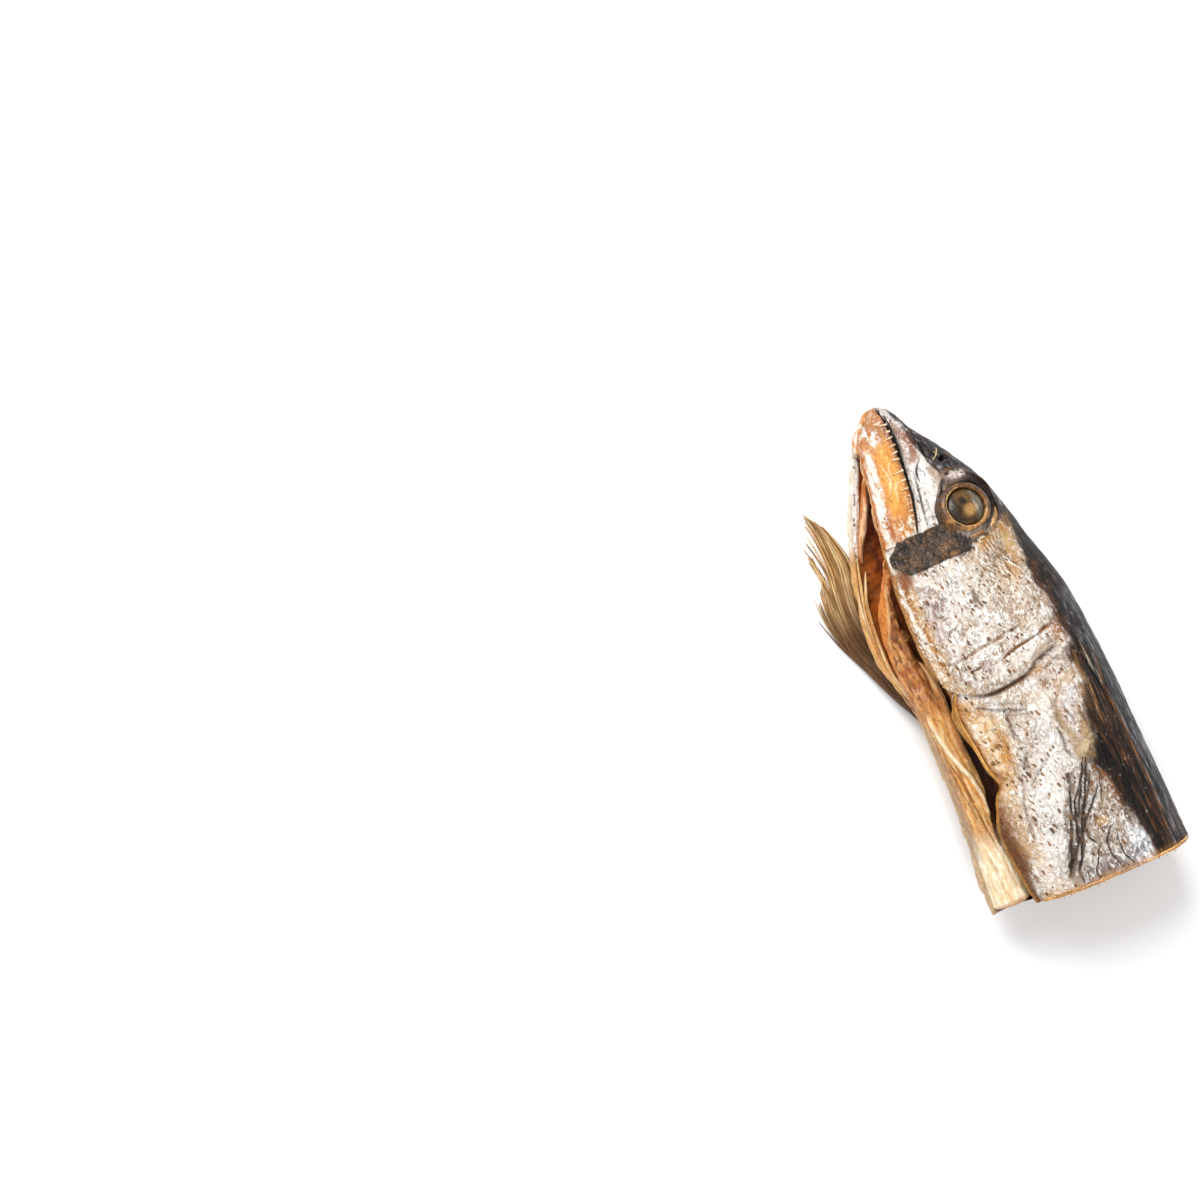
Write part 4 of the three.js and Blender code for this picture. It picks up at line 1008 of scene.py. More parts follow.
def paint_head(coat, here, x, y, u, v, fine, along):
    """Snout, lips, jaws and the skin round the eye."""
    lay = coat.lay
    area, stroke, dab = (functools.partial(*shape) for shape in ((within, x, y), (mark, u, v), (blot, x, y)))
    head = smooth(x, 84, 86)
    above = smooth(v, mouth_seen(u) - 0.2, mouth_seen(u) + 0.2)
    snout = head * above
    speck = rough(here, (1.4, 0.4, 0.5), 83, 2)
    lay("#ebe4dd", snout * fall(y, 3, 5) * 0.95, pores=0.35, chalk=0.95)
    lay("#a98a70", snout * smooth(y, 2.4, 3.8) * fall(y, 5.4, 7) * fall(x, 97.5, 99) * 0.85, pores=0.2,
        chalk=0.2)
    lay("#5d463a", snout * smooth(y, 4.2, 5.6) * fall(y, 6.4, 8) * fall(x, 95, 97) * 0.55, chalk=0)
    lay("#97664a", snout * area([(112, -0.3), (106, 2.7), (101.6, 3), (99.8, 1), (101, -0.6), (106, -0.4)],
        0.8) * 0.85, pores=0.1, chalk=0.3)
    lay("#8f5228", snout * dab((104.3, 2), (2.6, 0.9), -0.1) * 0.75)
    lay("#d8ccc2", snout * area([(106.5, 0.2), (103.6, 1.2), (101.4, 0.8), (102, -0.8), (106, -0.6)], 0.4)
        * smooth(fine, -0.2, 0.3) * 0.7, chalk=1)
    dark = dark_back_edge(x)
    back = smooth(y + 0.4 * fine, dark - 0.3, dark + 0.5) * smooth(x, 80, 84)
    lay("#221c1b", back, pores=0, chalk=0, streaks=0.5)
    lay("#5f5a5c", back * smooth(along, 0.1, 0.45) * 0.8)
    lay("#151315", back * smooth(-fine, 0.1, 0.5) * 0.7)
    lay("#5d3b24", back * smooth(rough(here, (3, 2, 2), 81, 3), 0.1, 0.45) * 0.7)
    lay("#9a959c", back * smooth(rough(here, (1.6, 0.7, 0.8), 89, 2), 0.42, 0.6) * 0.7, chalk=1)
    lay("#85797f", back * area([(97.6, 6.6), (95.4, 6.2), (96, 4.6), (99, 4)], 0.8) * 0.6)
    ring = np.hypot(u - 86.6, (v - 7.9) * 1.1)
    round_eye = fall(ring, 6.8, 8.6) * smooth(v + 0.25 * (87 - u), 2.2, 4.4)
    lay("#432a19", round_eye * 0.8, pores=0, chalk=0)
    lay("#140d09", fall(ring, 6.2, 7.4) * smooth(v, 7.4, 10.6) * 0.9, pores=0, chalk=0, streaks=0)
    lay("#c3aba0", dab((94.2, 8.4), (0.9, 1.7), 0.1) * 0.85, chalk=0.7, pores=0)
    lay("#2c1e15", stroke([(79.2, 10), (78.6, 7), (79, 4.6)], 0.25, 0.5) * 0.9, pores=0)
    lay("#2c1e15", within(u, v, [(88.4, 3.2), (84.5, 3.6), (84.4, 0.8), (86.6, 0.9)], 0.4) * 0.85, pores=0,
        chalk=0)
    lay("#f3dfb0", stroke([(78.9, 8.8), (78.5, 7.5), (77.4, 6.8)], 0.1, 0.22) * 0.9)
    lay("#faf7f3", snout * area([(99.8, 0.9), (98.6, 2.4), (96, 2.7), (94.4, 2.4), (94.6, 0.9), (97, 0.6)],
        0.5) * 0.95, chalk=1, pores=0.1)
    lay("#938a92", dab((97.3, 1.7), (1.3, 0.45), -0.2) * 0.8)
    for points, dark_by, width in SNOUT_LINES:
        lay("#2a231f", stroke(points, width, 0.25) * dark_by, chalk=0, pores=0)
    lay("#4f4036", snout * smooth(speck, 0.42, 0.56) * fall(y, 0, 2) * 0.85)
    lay("#7d604c", snout * fall(v - mouth_seen(u), 0.35, 0.9) * smooth(x, 101, 104) * 0.65)
    # Painted shade: the nostrils' holes are near-black.
    for spot, size in NOSTRIL_SPOTS:
        lay("#060505", blot(u, v, spot, size, 0, 0.3), pores=0, chalk=0)
    lay("#9a5a26", stroke([(95.9, 8.2), (96, 6.8), (95.6, 5.8)], 0.12, 0.25) * 0.8)

    jaw = head * (1 - above)
    lay("#c98a50", jaw, pores=0.1, chalk=0.3)
    lay("#e3b27c", jaw * smooth(fine, 0, 0.45) * 0.7)
    lay("#a86c3a", jaw * smooth(-fine, 0.1, 0.5) * 0.5)
    lay("#ab7347", jaw * smooth(x, 106, 110) * 0.7)
    lay("#94604c", jaw * mark(x, y, [(113, -2), (109, -1.9), (104, -1.9), (98, -2.6)], 0.3, 0.6) * 0.8)
    leaf = area(
        [(107.6, -3.4), (105.6, -2.2), (101, -2.2), (96, -3.1), (91.6, -4.6), (89.7, -6.2), (91, -8.2),
            (95, -8), (100, -7.6), (104.6, -7)], 1.3
    )
    lay("#dd9442", leaf, pores=0, chalk=0)
    glow = area(
        [(106, -3.6), (101, -3), (96, -4), (92, -5.6), (92.4, -7), (96, -6.8), (101, -6.2), (105, -5.6)], 1.3
    )
    lay("#ecb05c", glow * 0.9)
    # Painted highlights: pale yellow patches in the leaf's lighter middle.
    lay("#f6d08c", glow * smooth(rough(here, (5, 2.4, 9), 85, 3), -0.05, 0.5) * 0.75)
    lay("#c9792c", leaf * smooth(rough(here, (4, 1.4, 9), 86, 3), 0.15, 0.5) * 0.5)
    for points in (
        [(104, -6.2), (100.5, -5.2), (97.4, -5.6), (95, -7)], [(98.6, -3.2), (96.6, -4.4), (93.4, -4.9)],
        [(103, -3), (101, -4.2), (98.6, -4.6)]
    ):
        lay("#c4772e", leaf * mark(x, y, points, 0.12, 0.4) * 0.55)
        # Painted highlight: a pale line beside each fold line.
        lay("#fbe2b2", leaf * mark(x, y + 0.45, points, 0.1, 0.35) * 0.5)
    strip = area(
        [(106.4, -6.9), (103.6, -7.4), (100.4, -7.9), (96, -8.4), (93, -8.7), (90.6, -9.8), (85, -11),
            (85, -12), (91, -11.3), (96, -10.6), (103, -9.5), (106.4, -8.2)], 0.5
    )
    lay("#f6ede0", strip * 0.95, chalk=1, pores=0.25)
    lay("#cf9a66", strip * smooth(fine, -0.05, 0.35) * 0.75, chalk=0.3)
    lay("#f0dcbc", area([(90.4, -4.8), (87, -4.4), (85, -5.4), (85, -8.2), (88, -8.8), (90, -7)], 0.8)
        * smooth(fine, -0.15, 0.2) * 0.95, chalk=1)
    lay("#ab5a1f", jaw * mark(x, y, [(92, -9.3), (88.5, -9.6), (85, -9.8)], 0.45, 0.7) * 0.85)
    lay("#f7f1e9", jaw * smooth(rough(here, (1.6, 1, 9), 87, 3), 0.02, 0.22)
        * area([(111, -4.4), (108, -4.2), (106.2, -6.4), (108.6, -7.6), (111, -7)], 0.8) * 0.95, chalk=1)
    lay("#e9dfd3", jaw * area([(112.6, -6.4), (110.6, -6.6), (109.4, -8), (111, -8.2)], 0.4) * 0.9, chalk=1)
    lay("#b86521", jaw * fall(v - near_edge_height(u), 0.2, 0.8) * 0.9)
    lay("#7f7068", jaw * smooth(x, 112.8, 114.2) * smooth(y, -3.4, -1.6) * 0.7)
    lay("#f2dcc0", jaw * stroke([(112, -2), (111.6, -3), (111.9, -4)], 0.12, 0.22) * 0.9)
    wide = mouth_half_gap(u)
    # Painted shade: the gap of the mouth is near-black.
    slit = near(v - mouth_seen(u), wide * 0.8, wide * 1.4) * smooth(u, 85, 86) * fall(u, 114.2, 115)
    lay("#0d0806", slit, pores=0, chalk=0, streaks=0)


def skin_relief(u, v, offset, side):
    """How far the skin stands out, in millimetres: cushions between wrinkles, creases, and the folded fin."""
    here = joined(u, v, side * offset)
    soft = fall(u, 84, 90)
    back = smooth(v, dark_back_edge(u) - 0.5, dark_back_edge(u) + 0.8)
    out = 0.45 * rough(here, (9, 4, 5), 101, 3) * (0.3 + 0.7 * soft) * (1 - 0.75 * back)
    out += (0.26 * wrinkled(here, (3.2, 1.6, 2), 111) * (0.25 + 0.75 * soft) - 0.13) * (1 - 0.7 * back)
    out += 0.14 * rough(here, (1.3, 0.8, 1), 115, 2) * (0.4 + 0.6 * soft) * (1 - 0.8 * back)
    from_eye = np.hypot(u - 86.6, v - 7.6)
    out += 0.8 * fall(from_eye, 6.4, 9.6) * smooth(v, 1, 4) * fall(v, 10, 13) - 1.8 * fall(from_eye, 5, 5.9)
    out += 0.16 * rough(here, (16, 1.3, 1.4), 121, 3) * back
    out -= 0.5 * mark(u, v, BACK_SEAM, 0.2, 0.7)
    out += (
        0.7 * mark(u, v, [(46, -10.4), (41, -11), (36, -10), (31, -9.8), (27.5, -9)], 0.5, 2.2)
        - 0.4 * mark(u, v, [(44, -8), (38, -7.2), (32, -7), (28, -6.6)], 0.3, 1.4)
    )
    if side == UPPER:
        for points, dark, width in FIN_FOLDS:
            away = np.abs(to_line(u, v, points, 4)[0])
            out -= (0.1 + 0.4 * width) * dark * fall(away, 0, width + 0.5)
        out += 0.6 * mark(u, v, FIN_RIM[:-1], 0.2, 1)
        out -= 0.35 * mark(u, v, FIN_CURL, 0.15, 0.5)
        out += within(u, v, SHINY, 0.7) * 0.5 * wrinkled(here, (2.6, 1.3, 9), 131)
    for points, dark, width in SHOULDER_CREASES:
        out -= 0.8 * dark * mark(u, v, points, width, 0.6)
    for points, dark, width in COVER_CREASES:
        out -= 0.6 * dark * mark(u, v, points, width, 0.5)
    gill = gill_edge_seen(v)
    out -= 0.4 * near(u - gill + 0.5, 0.3, 1.1) * smooth(v, -11, -8) * fall(v, 12, 16)
    for points in TEMPLE_WRINKLES:
        out -= 0.3 * mark(u, v, points, 0.12, 0.42)
    slit = near(v - mouth_seen(u), 0.5, 1) * smooth(u, 84.5, 86.5) * fall(u, 113.6, 114.8)
    out -= 1.5 * slit
    for points, dark, width in SNOUT_LINES:
        out -= 0.45 * dark * mark(u, v, points, width, 0.45)
    for spot, size in NOSTRIL_SPOTS:
        out -= 1.1 * blot(u, v, spot, size, 0, 0.45)
        out += 0.3 * (blot(u, v, spot, (size[0] * 1.9, size[1] * 1.7)) - blot(u, v, spot, size))
    return out


# --- The body

FLANK_POINTS = {UPPER: 148, LOWER: 90}
LIP_POINTS, HOLLOW_POINTS = 5, 24
NOSE_STATION = 114.4  # where the outlines start to close to the tip of the snout


def even(line, count):
    """That many points at even steps along a line."""
    run = np.concatenate([[0], np.cumsum(np.hypot(*np.diff(line, axis=0).T))])
    at = np.linspace(0, run[-1], count)
    return np.stack([np.interp(at, run, line[:, i]) for i in (0, 1)], -1)


def flank_outline(station, side, count):
    """The heights and offsets of a flank's skin, from the back to the rim."""
    turn = np.linspace(0, 1, 240) ** 1.5 * math.pi / 2
    widest, power = widest_height(station), 2 / back_boxiness(station)
    rise = (back_height(station) - widest) * np.cos(turn).clip(0) ** power
    over = joined(widest + rise, half_width(station) * np.sin(turn) ** power)
    heights = np.linspace(widest, rim_height(station, side), 160)[1:]
    under = joined(heights, flank_offset(station, heights, side))
    line = even(np.vstack([over, under]), count)
    return line * (1, side)


def lip_outline(station, side, count):
    """The rounded edge between the skin and the hollow."""
    turn = np.linspace(0, math.pi, count + 2)[1:-1]
    half = rim_thickness(station) / 2
    height = rim_height(station, side) - (0.4 if side == UPPER else 0.8) * half * np.sin(turn)
    return joined(height, side * (rim_offset(station, side) - half + half * np.cos(turn)))


def hollow_outline(station, side, count):
    """The hollow's wall, from the rim to the innermost line."""
    turn = np.linspace(0, math.pi / 2, count)
    rim = rim_height(station, side)
    height = rim + (hollow_height(station) - rim) * np.sin(turn)
    thin = rim_thickness(station)
    wall = thin + (wall_thickness(station) - thin) * smooth(height, rim, rim + RIM_BEVEL[side])
    offset = np.maximum(flank_offset(station, height, side) - wall, 0.2) * np.cos(turn).clip(0) ** 0.8
    return joined(height, side * offset)


def body_outline(station):
    upper, lower = (flank_outline(station, side, FLANK_POINTS[side]) for side in (UPPER, LOWER))
    inside = np.vstack([
        lip_outline(station, UPPER, LIP_POINTS), hollow_outline(station, UPPER, HOLLOW_POINTS),
        hollow_outline(station, LOWER, HOLLOW_POINTS)[-2::-1], lip_outline(station, LOWER, LIP_POINTS)[::-1],
    ])
    open_share = smooth(CHIN_STATION - station, 0, CHIN_BLEND)
    share = ((np.arange(len(inside)) + 1) / (len(inside) + 1))[:, None]
    shut = upper[-1] + (lower[-1] - upper[-1]) * share - np.array([CHIN_BULGE, 0]) * np.sin(math.pi * share)
    return np.vstack([upper, shut + (inside - shut) * open_share, lower[:0:-1]])


def drawn_in(outline, by):
    """A closed outline moved inwards."""
    ahead = np.roll(outline, -1, axis=0) - np.roll(outline, 1, axis=0)
    inward = joined(-ahead[:, 1], ahead[:, 0]) / np.maximum(np.hypot(*ahead.T), 1e-9)[:, None]
    area = np.sum(outline[:, 0] * np.roll(outline[:, 1], -1) - outline[:, 1] * np.roll(outline[:, 0], -1))
    return outline + inward * by * (1 if area > 0 else -1)


def make_body():
    stations = np.concatenate([
        np.linspace(0.3, 48, 160, endpoint=False), np.linspace(48, 78, 38, endpoint=False),
        np.linspace(78, 86, 20, endpoint=False), np.linspace(86, NOSE_STATION, 89),
    ])
    cut = body_outline(0)
    rows = [(0.9, drawn_in(cut, 0.7)), (0.14, drawn_in(cut, 0.7)), (-0.08, drawn_in(cut, 0.35)), (0, cut)]
    rows += [(station, body_outline(station)) for station in stations]
    nose, middle = body_outline(NOSE_STATION), np.array([-2.9, 0])
    for share in (0.35, 0.65, 0.85, 0.97):
        rows.append((NOSE_STATION + 0.9 * share, middle + (nose - middle) * math.sqrt(1 - share**2)))
    places = np.stack(
        [np.column_stack([np.full(len(outline), station), outline]) for station, outline in rows]
    )
    outward = -grid_normals(places, wrap=True)
    count = places.shape[1]
    upper, lower = FLANK_POINTS[UPPER], FLANK_POINTS[LOWER]
    sides = {UPPER: slice(0, upper), LOWER: slice(count - lower + 1, count)}
    inner = slice(upper, count - lower + 1)

    colour = np.zeros((*places.shape[:2], 3))
    values = {label: np.zeros(places.shape[:2]) for label in ("pores", "chalk", "streaks")}
    out = np.zeros(places.shape[:2])
    fade = np.ones(len(rows))
    fade[:4], fade[-4:] = (0, 0, 0.4, 0.7), (0.7, 0.5, 0.2, 0)

    for side, columns in sides.items():
        part = places[:, columns]
        offset = np.abs(part[..., 2])
        u, v = skin_sight(part[..., 0], part[..., 1], offset, side)
        coat = skin_coat(u.ravel(), v.ravel(), offset.ravel(), side)
        colour[:, columns] = coat.colour.reshape(*u.shape, 3)
        for label in values:
            values[label][:, columns] = coat.values[label].reshape(u.shape)
        out[:, columns] = skin_relief(u.ravel(), v.ravel(), offset.ravel(), side).reshape(u.shape)
    near_back = np.minimum(np.arange(count), count - np.arange(count))
    blend_back = smooth(near_back, 0, 8)
    middle_out = out[:, :1]
    out = (
        middle_out + (out - middle_out) * np.where((np.arange(count) < upper)
            | (np.arange(count) > count - lower), blend_back, 1)
    )

    part = places[:, inner].reshape(-1, 3)
    coat = hollow_coat(part)
    colour[:, inner] = coat.colour.reshape(*places[:, inner].shape)
    values["streaks"][:, inner] = coat.values["streaks"].reshape(places[:, inner].shape[:2])
    folds = 0.35 * rough(part, (7, 2.2, 2.2), 141, 3) + 0.3 * wrinkled(part, (9, 1.6, 1.6), 151)
    out[:, inner] = folds.reshape(places[:, inner].shape[:2])

    places = places + outward * (out * fade[:, None])[..., None]
    faces = grid_faces(len(rows), count, wrap=True)
    which = np.tile(
        np.where((np.arange(count) >= upper + 1) & (np.arange(count) < count - lower - 1), 1, 0),
        len(rows) - 1
    )
    last = (len(rows) - 1) * count
    faces += [list(range(count))[::-1], list(range(last, last + count))]
    which = np.concatenate([which, [1, 0]])
    attributes = {"coat": colour.reshape(-1, 3), **{label: value.ravel() for label, value in values.items()}}
    return make_piece("fish_body", places, faces, attributes, SKIN, FLESH, which=which)


def hollow_coat(places):
    """Deep orange to red-brown in the throat, darker under the upper flank as painted shade, with a painted
    orange highlight low on the lower wall, and browner in the belly.
    """
    station, height, offset = places.T
    coat = Coat(len(places), "#7d3003", streaks=0.3)
    lay = coat.lay
    # Painted shade: darker towards the upper flank, which overhangs the hollow.
    lay("#431804", smooth(offset, -3, 2.6))
    lay("#1f0a03", smooth(offset, 1.5, 6))
    lay("#4a240d", 1 - smooth(station, 30, 55))
    # Painted highlight: brighter orange low on the lower wall, near its rim.
    lay("#b4661f", smooth(-offset, 2, 4.5) * smooth(-height - 12 - 0.02 * station, 0, 5) * 0.6)
    lay("#b5560f", smooth(rough(places, (8, 3, 3), 161, 3), 0.12, 0.45) * smooth(-offset, 0, 3) * 0.55)
    lay("#2a0d02", fall(wrinkled(places, (9, 2.2, 2.2), 165), 0.1, 0.35) * 0.6)
    lay("#7a3d10", near(station - 85.4 - 0.3 * np.sin(height), 0.2, 0.6) * 0.7)
    near_upper = (
        smooth(offset / rim_offset(station, UPPER), 0.5, 0.75)
        * fall(height - rim_height(station, UPPER), 0.2, 1)
    )
    lay("#c98f45", near_upper * 0.8)
    lay("#d9a877", near_upper * smooth(station, 84, 92) * 0.8)
    near_rim = fall(height - rim_height(station, LOWER), 0.2, 1.2)
    lay("#c3a783", near_rim * fall(station, 44, 52))
    lay("#d9a868", near_rim * smooth(station, 48, 56) * 0.9)
    lay("#e6d8c6", near_rim * smooth(station, 84, 90))
    chin = smooth(station, CHIN_STATION - 3, CHIN_STATION - 0.5)
    lay("#c98d56", chin)
    lay("#efe6da", chin * smooth(rough(places, (2, 1.2, 1.2), 171, 3), -0.1, 0.3) * 0.85)
    lay("#b06a30", chin * smooth(rough(places, (2.4, 1, 1), 175, 3), 0.15, 0.5) * 0.6)
    return coat


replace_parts(make_body(), NODE)


# --- Layers over the skin


def plate(name, side, station, height, lift, depth, material=SKIN, coat_of=skin_coat, relief_of=skin_relief):
    """A layer over a flank, from grids of stations and heights, that far above the skin. Its underside lies
    depth under the skin."""
    offset = flank_offset(station, height, side)
    places = joined(station, height, side * offset)
    outward = grid_normals(places)
    outward *= side * np.sign(outward[..., 2].mean())
    u, v = skin_sight(station, height, offset, side)
    out = lift + relief_of(u.ravel(), v.ravel(), offset.ravel(), side).reshape(u.shape)
    coat = coat_of(u.ravel(), v.ravel(), offset.ravel(), side)
    out = np.maximum(out, -0.8)
    below = np.minimum(out - 0.25, -depth)
    rows, columns = station.shape
    edge = grid_edge(rows, columns)
    faces = grid_faces(rows, columns)
    faces += [[corner + rows * columns for corner in face[::-1]] for face in faces]
    faces += (
        joined(np.roll(edge, -1), edge, edge + rows * columns, np.roll(edge, -1) + rows * columns).tolist()
    )
    points = np.vstack([(places + outward * level[..., None]).reshape(-1, 3) for level in (out, below)])
    attributes = {label: np.concatenate([value, value]) for label, value in coat.attributes().items()}
    return make_piece(name, points, faces, attributes, material)


def rounded(distance, reach, drop):
    """How far an edge is rounded down, by the distance from it."""
    t = np.clip(distance / reach, 0, 1)
    return -drop * (1 - np.sqrt(1 - (1 - t) ** 2))


def grid(rows, columns):
    return np.meshgrid(np.linspace(0, 1, rows), np.linspace(0, 1, columns), indexing="ij")


COVER_LOW, COVER_TOP, COVER_LENGTH = -15, 14, 26
LIP_START, LIP_LENGTH = 85.2, 27.8
JAW_START, JAW_LENGTH = 85, 28.8


def make_gill_cover(name, side):
    up, along = grid(150, 190)
    along = along**1.15
    height = COVER_LOW + (COVER_TOP - COVER_LOW) * up
    ragged = 0.12 * bumps(joined(height, height, height) / 1.3, 5)
    station = gill_edge_station(height) + ragged + COVER_LENGTH * along
    low = rim_height(station, side) + 0.1
    height = low + (COVER_TOP - low) * up if side == LOWER else np.maximum(height, low)
    height = np.minimum(height, back_height(station) - 2)
    fade = (1 - along) ** 1.5 * np.minimum(1, 6 * (1 - up))
    lift = 1.25 * fade - 0.45 + rounded(COVER_LENGTH * along, 0.7, 0.45)
    return plate(name, side, station, height, lift, 0.4)


def make_upper_lip(name, side):
    up, along = grid(34, 220)
    station = LIP_START + LIP_LENGTH * along
    width = 5.2 * np.sqrt(1 - along**2) + 0.5
    height = mouth_height(station) + mouth_half_gap(station) + width * up
    lift = 0.6 * (1 - up**2) * (1 - along**6) - 0.12 + rounded(up * width, 0.4, 0.3)
    return plate(name, side, station, height, lift, 0.4)


def make_jaw(name, side):
    up, along = grid(60, 230)
    station = JAW_START + JAW_LENGTH * along
    top = mouth_height(station) - mouth_half_gap(station)
    low = rim_height(station, side) + 0.05
    height = low + (top - low) * up
    lift = (
        0.4 * np.sin(math.pi * np.clip(0.12 + 0.8 * up, 0, 1)) * (1 - along**8)
        + rounded((1 - up) * (top - low), 0.5, 0.35)
    )
    return plate(name, side, station, height, lift, 0.4)


STRAP_CREASE = [(85.4, -8), (83, -8.6), (80, -9.4), (78, -10)]


def strap_coat(u, v, offset, side):
    here = joined(u, v, 40 * side)
    coat = Coat(len(u), "#58473a")
    lay = coat.lay
    lay("#2f2721", smooth(rough(here, (3, 4, 9), 171, 4), -0.1, 0.45) * 0.8)
    lay("#84694c", smooth(rough(here, (2.2, 1.6, 9), 176, 4), 0.1, 0.5) * 0.6)
    lay("#8a5f36", smooth(rough(here, (2.5, 1.3, 9), 181, 3), 0.3, 0.6) * 0.5)
    lay("#2c2826", mark(u, v, STRAP_CREASE, 0.15, 0.5) * 0.7)
    lay("#2c2826", smooth(v, 1.6, 3.4) * 0.5)
    lay("#9aa3b0", smooth(rough(here, (0.7, 0.5, 9), 186, 2), 0.52, 0.66) * 0.6)
    lay("#a8764a", blot(u, v, (77.9, 1), (0.5, 0.9)) * 0.8)
    return coat


def strap_relief(u, v, offset, side):
    here = joined(u, v, 40 * side)
    out = 0.35 * rough(here, (3, 2.2, 9), 191, 3) + 0.25 * wrinkled(here, (2.6, 1.6, 9), 196) - 0.1
    return out - 0.4 * mark(u, v, STRAP_CREASE, 0.15, 0.6)


def make_strap(name, side):
    down, along = grid(120, 70)
    ragged = 0.24 * bumps(joined(down * 14, 3, 0), 8)
    u = 77.3 + ragged + (8.1 - ragged) * along
    bottom = profile(
        (77.3, -9.7), (79, -11.4), (80.3, -12.5), (81.3, -13.1), (82.7, -12.8), (83.6, -11.7), (84.6, -10.6),
        (85.4, -10)
    )
    top = profile((77.3, 4.8), (78.6, 5.5), (81, 5.4), (83.4, 4.4), (85.4, 3.9))
    v = bottom(u) + 0.2 * bumps(joined(u * 1.2, 7, 0), 9) + (top(u) - bottom(u)) * down
    station, height, _ = under_sight(u, v, UPPER)
    if side == LOWER:
        reach = (lower_rim_height(station) + 2) / (upper_rim_height(station) + 2)
        height = np.where(height < -2, -2 + (height + 2) * reach, height)
    edge = np.minimum(np.minimum(along, 1 - along) * 8, np.minimum(down * 15, 9))
    return plate(
        name, side, station, height, 0.8 + rounded(edge, 0.6, 0.6), 0.4, LEATHER, strap_coat, strap_relief
    )


for label, side in (("upper", UPPER), ("lower", LOWER)):
    make_gill_cover(f"gill_cover_{label}", side)
    make_upper_lip(f"upper_lip_{label}", side)
    make_jaw(f"jaw_{label}", side)
    make_strap(f"strap_{label}", side)


# --- Turned pieces: eyes and backbone


def turned(outline, sides, steps=4):
    """A round shape from (radius, rise) points that start and end on its axis: its places and faces."""
    line = sweep(outline, steps)
    line[0, 0] = line[-1, 0] = 0
    turn = np.arange(sides) * 2 * math.pi / sides
    rings = joined(
        np.outer(line[1:-1, 0].clip(0.01), np.cos(turn)), np.outer(line[1:-1, 0].clip(0.01), np.sin(turn)),
        np.outer(line[1:-1, 1], np.ones(sides)),
    )
    count = len(line) - 2
    places = np.vstack([rings.reshape(-1, 3), [0, 0, line[0, 1]], [0, 0, line[-1, 1]]])
    faces = grid_faces(count, sides, wrap=True)
    first, last = count * sides, count * sides + 1
    ahead = (np.arange(sides) + 1) % sides
    faces += [[first, int(i), int(j)] for i, j in zip(np.arange(sides), ahead)]
    faces += [
        [last, int(j), int(i)] for i, j in zip((count - 1) * sides + np.arange(sides),
            (count - 1) * sides + ahead)
    ]
    return places, faces


def set_in_eye(places, side):
    """Moves places round the eye's own axis to the fish's axes."""
    lean = Matrix.Rotation(-EYE["lean"], 3, "X")
    toe = Matrix.Rotation(-EYE["toe"], 3, "Y")
    turned_places = places @ np.array(toe @ lean).T
    skin = flank_offset(EYE["station"], EYE["height"], UPPER)
    x, y, z = turned_places.T
    return joined(EYE["station"] - x, EYE["height"] + y, side * (skin + z))


EYE_RING = [
    (0, -4), (3.6, -4), (6, -2.8), (6.2, -1.6), (5.95, -0.5), (5.5, 0.25), (5.1, 0.6), (4.7, 0.75),
    (4.4, 0.65), (4.25, 0.3), (4.15, -0.2), (3.4, -1), (0, -1.1)
]
EYE_LENS = [(0, -2.2), (2.6, -2.2), (4, -1.5), (4.2, -0.6), (3.9, 0.1), (3, 0.62), (1.6, 0.95), (0, 1.05)]


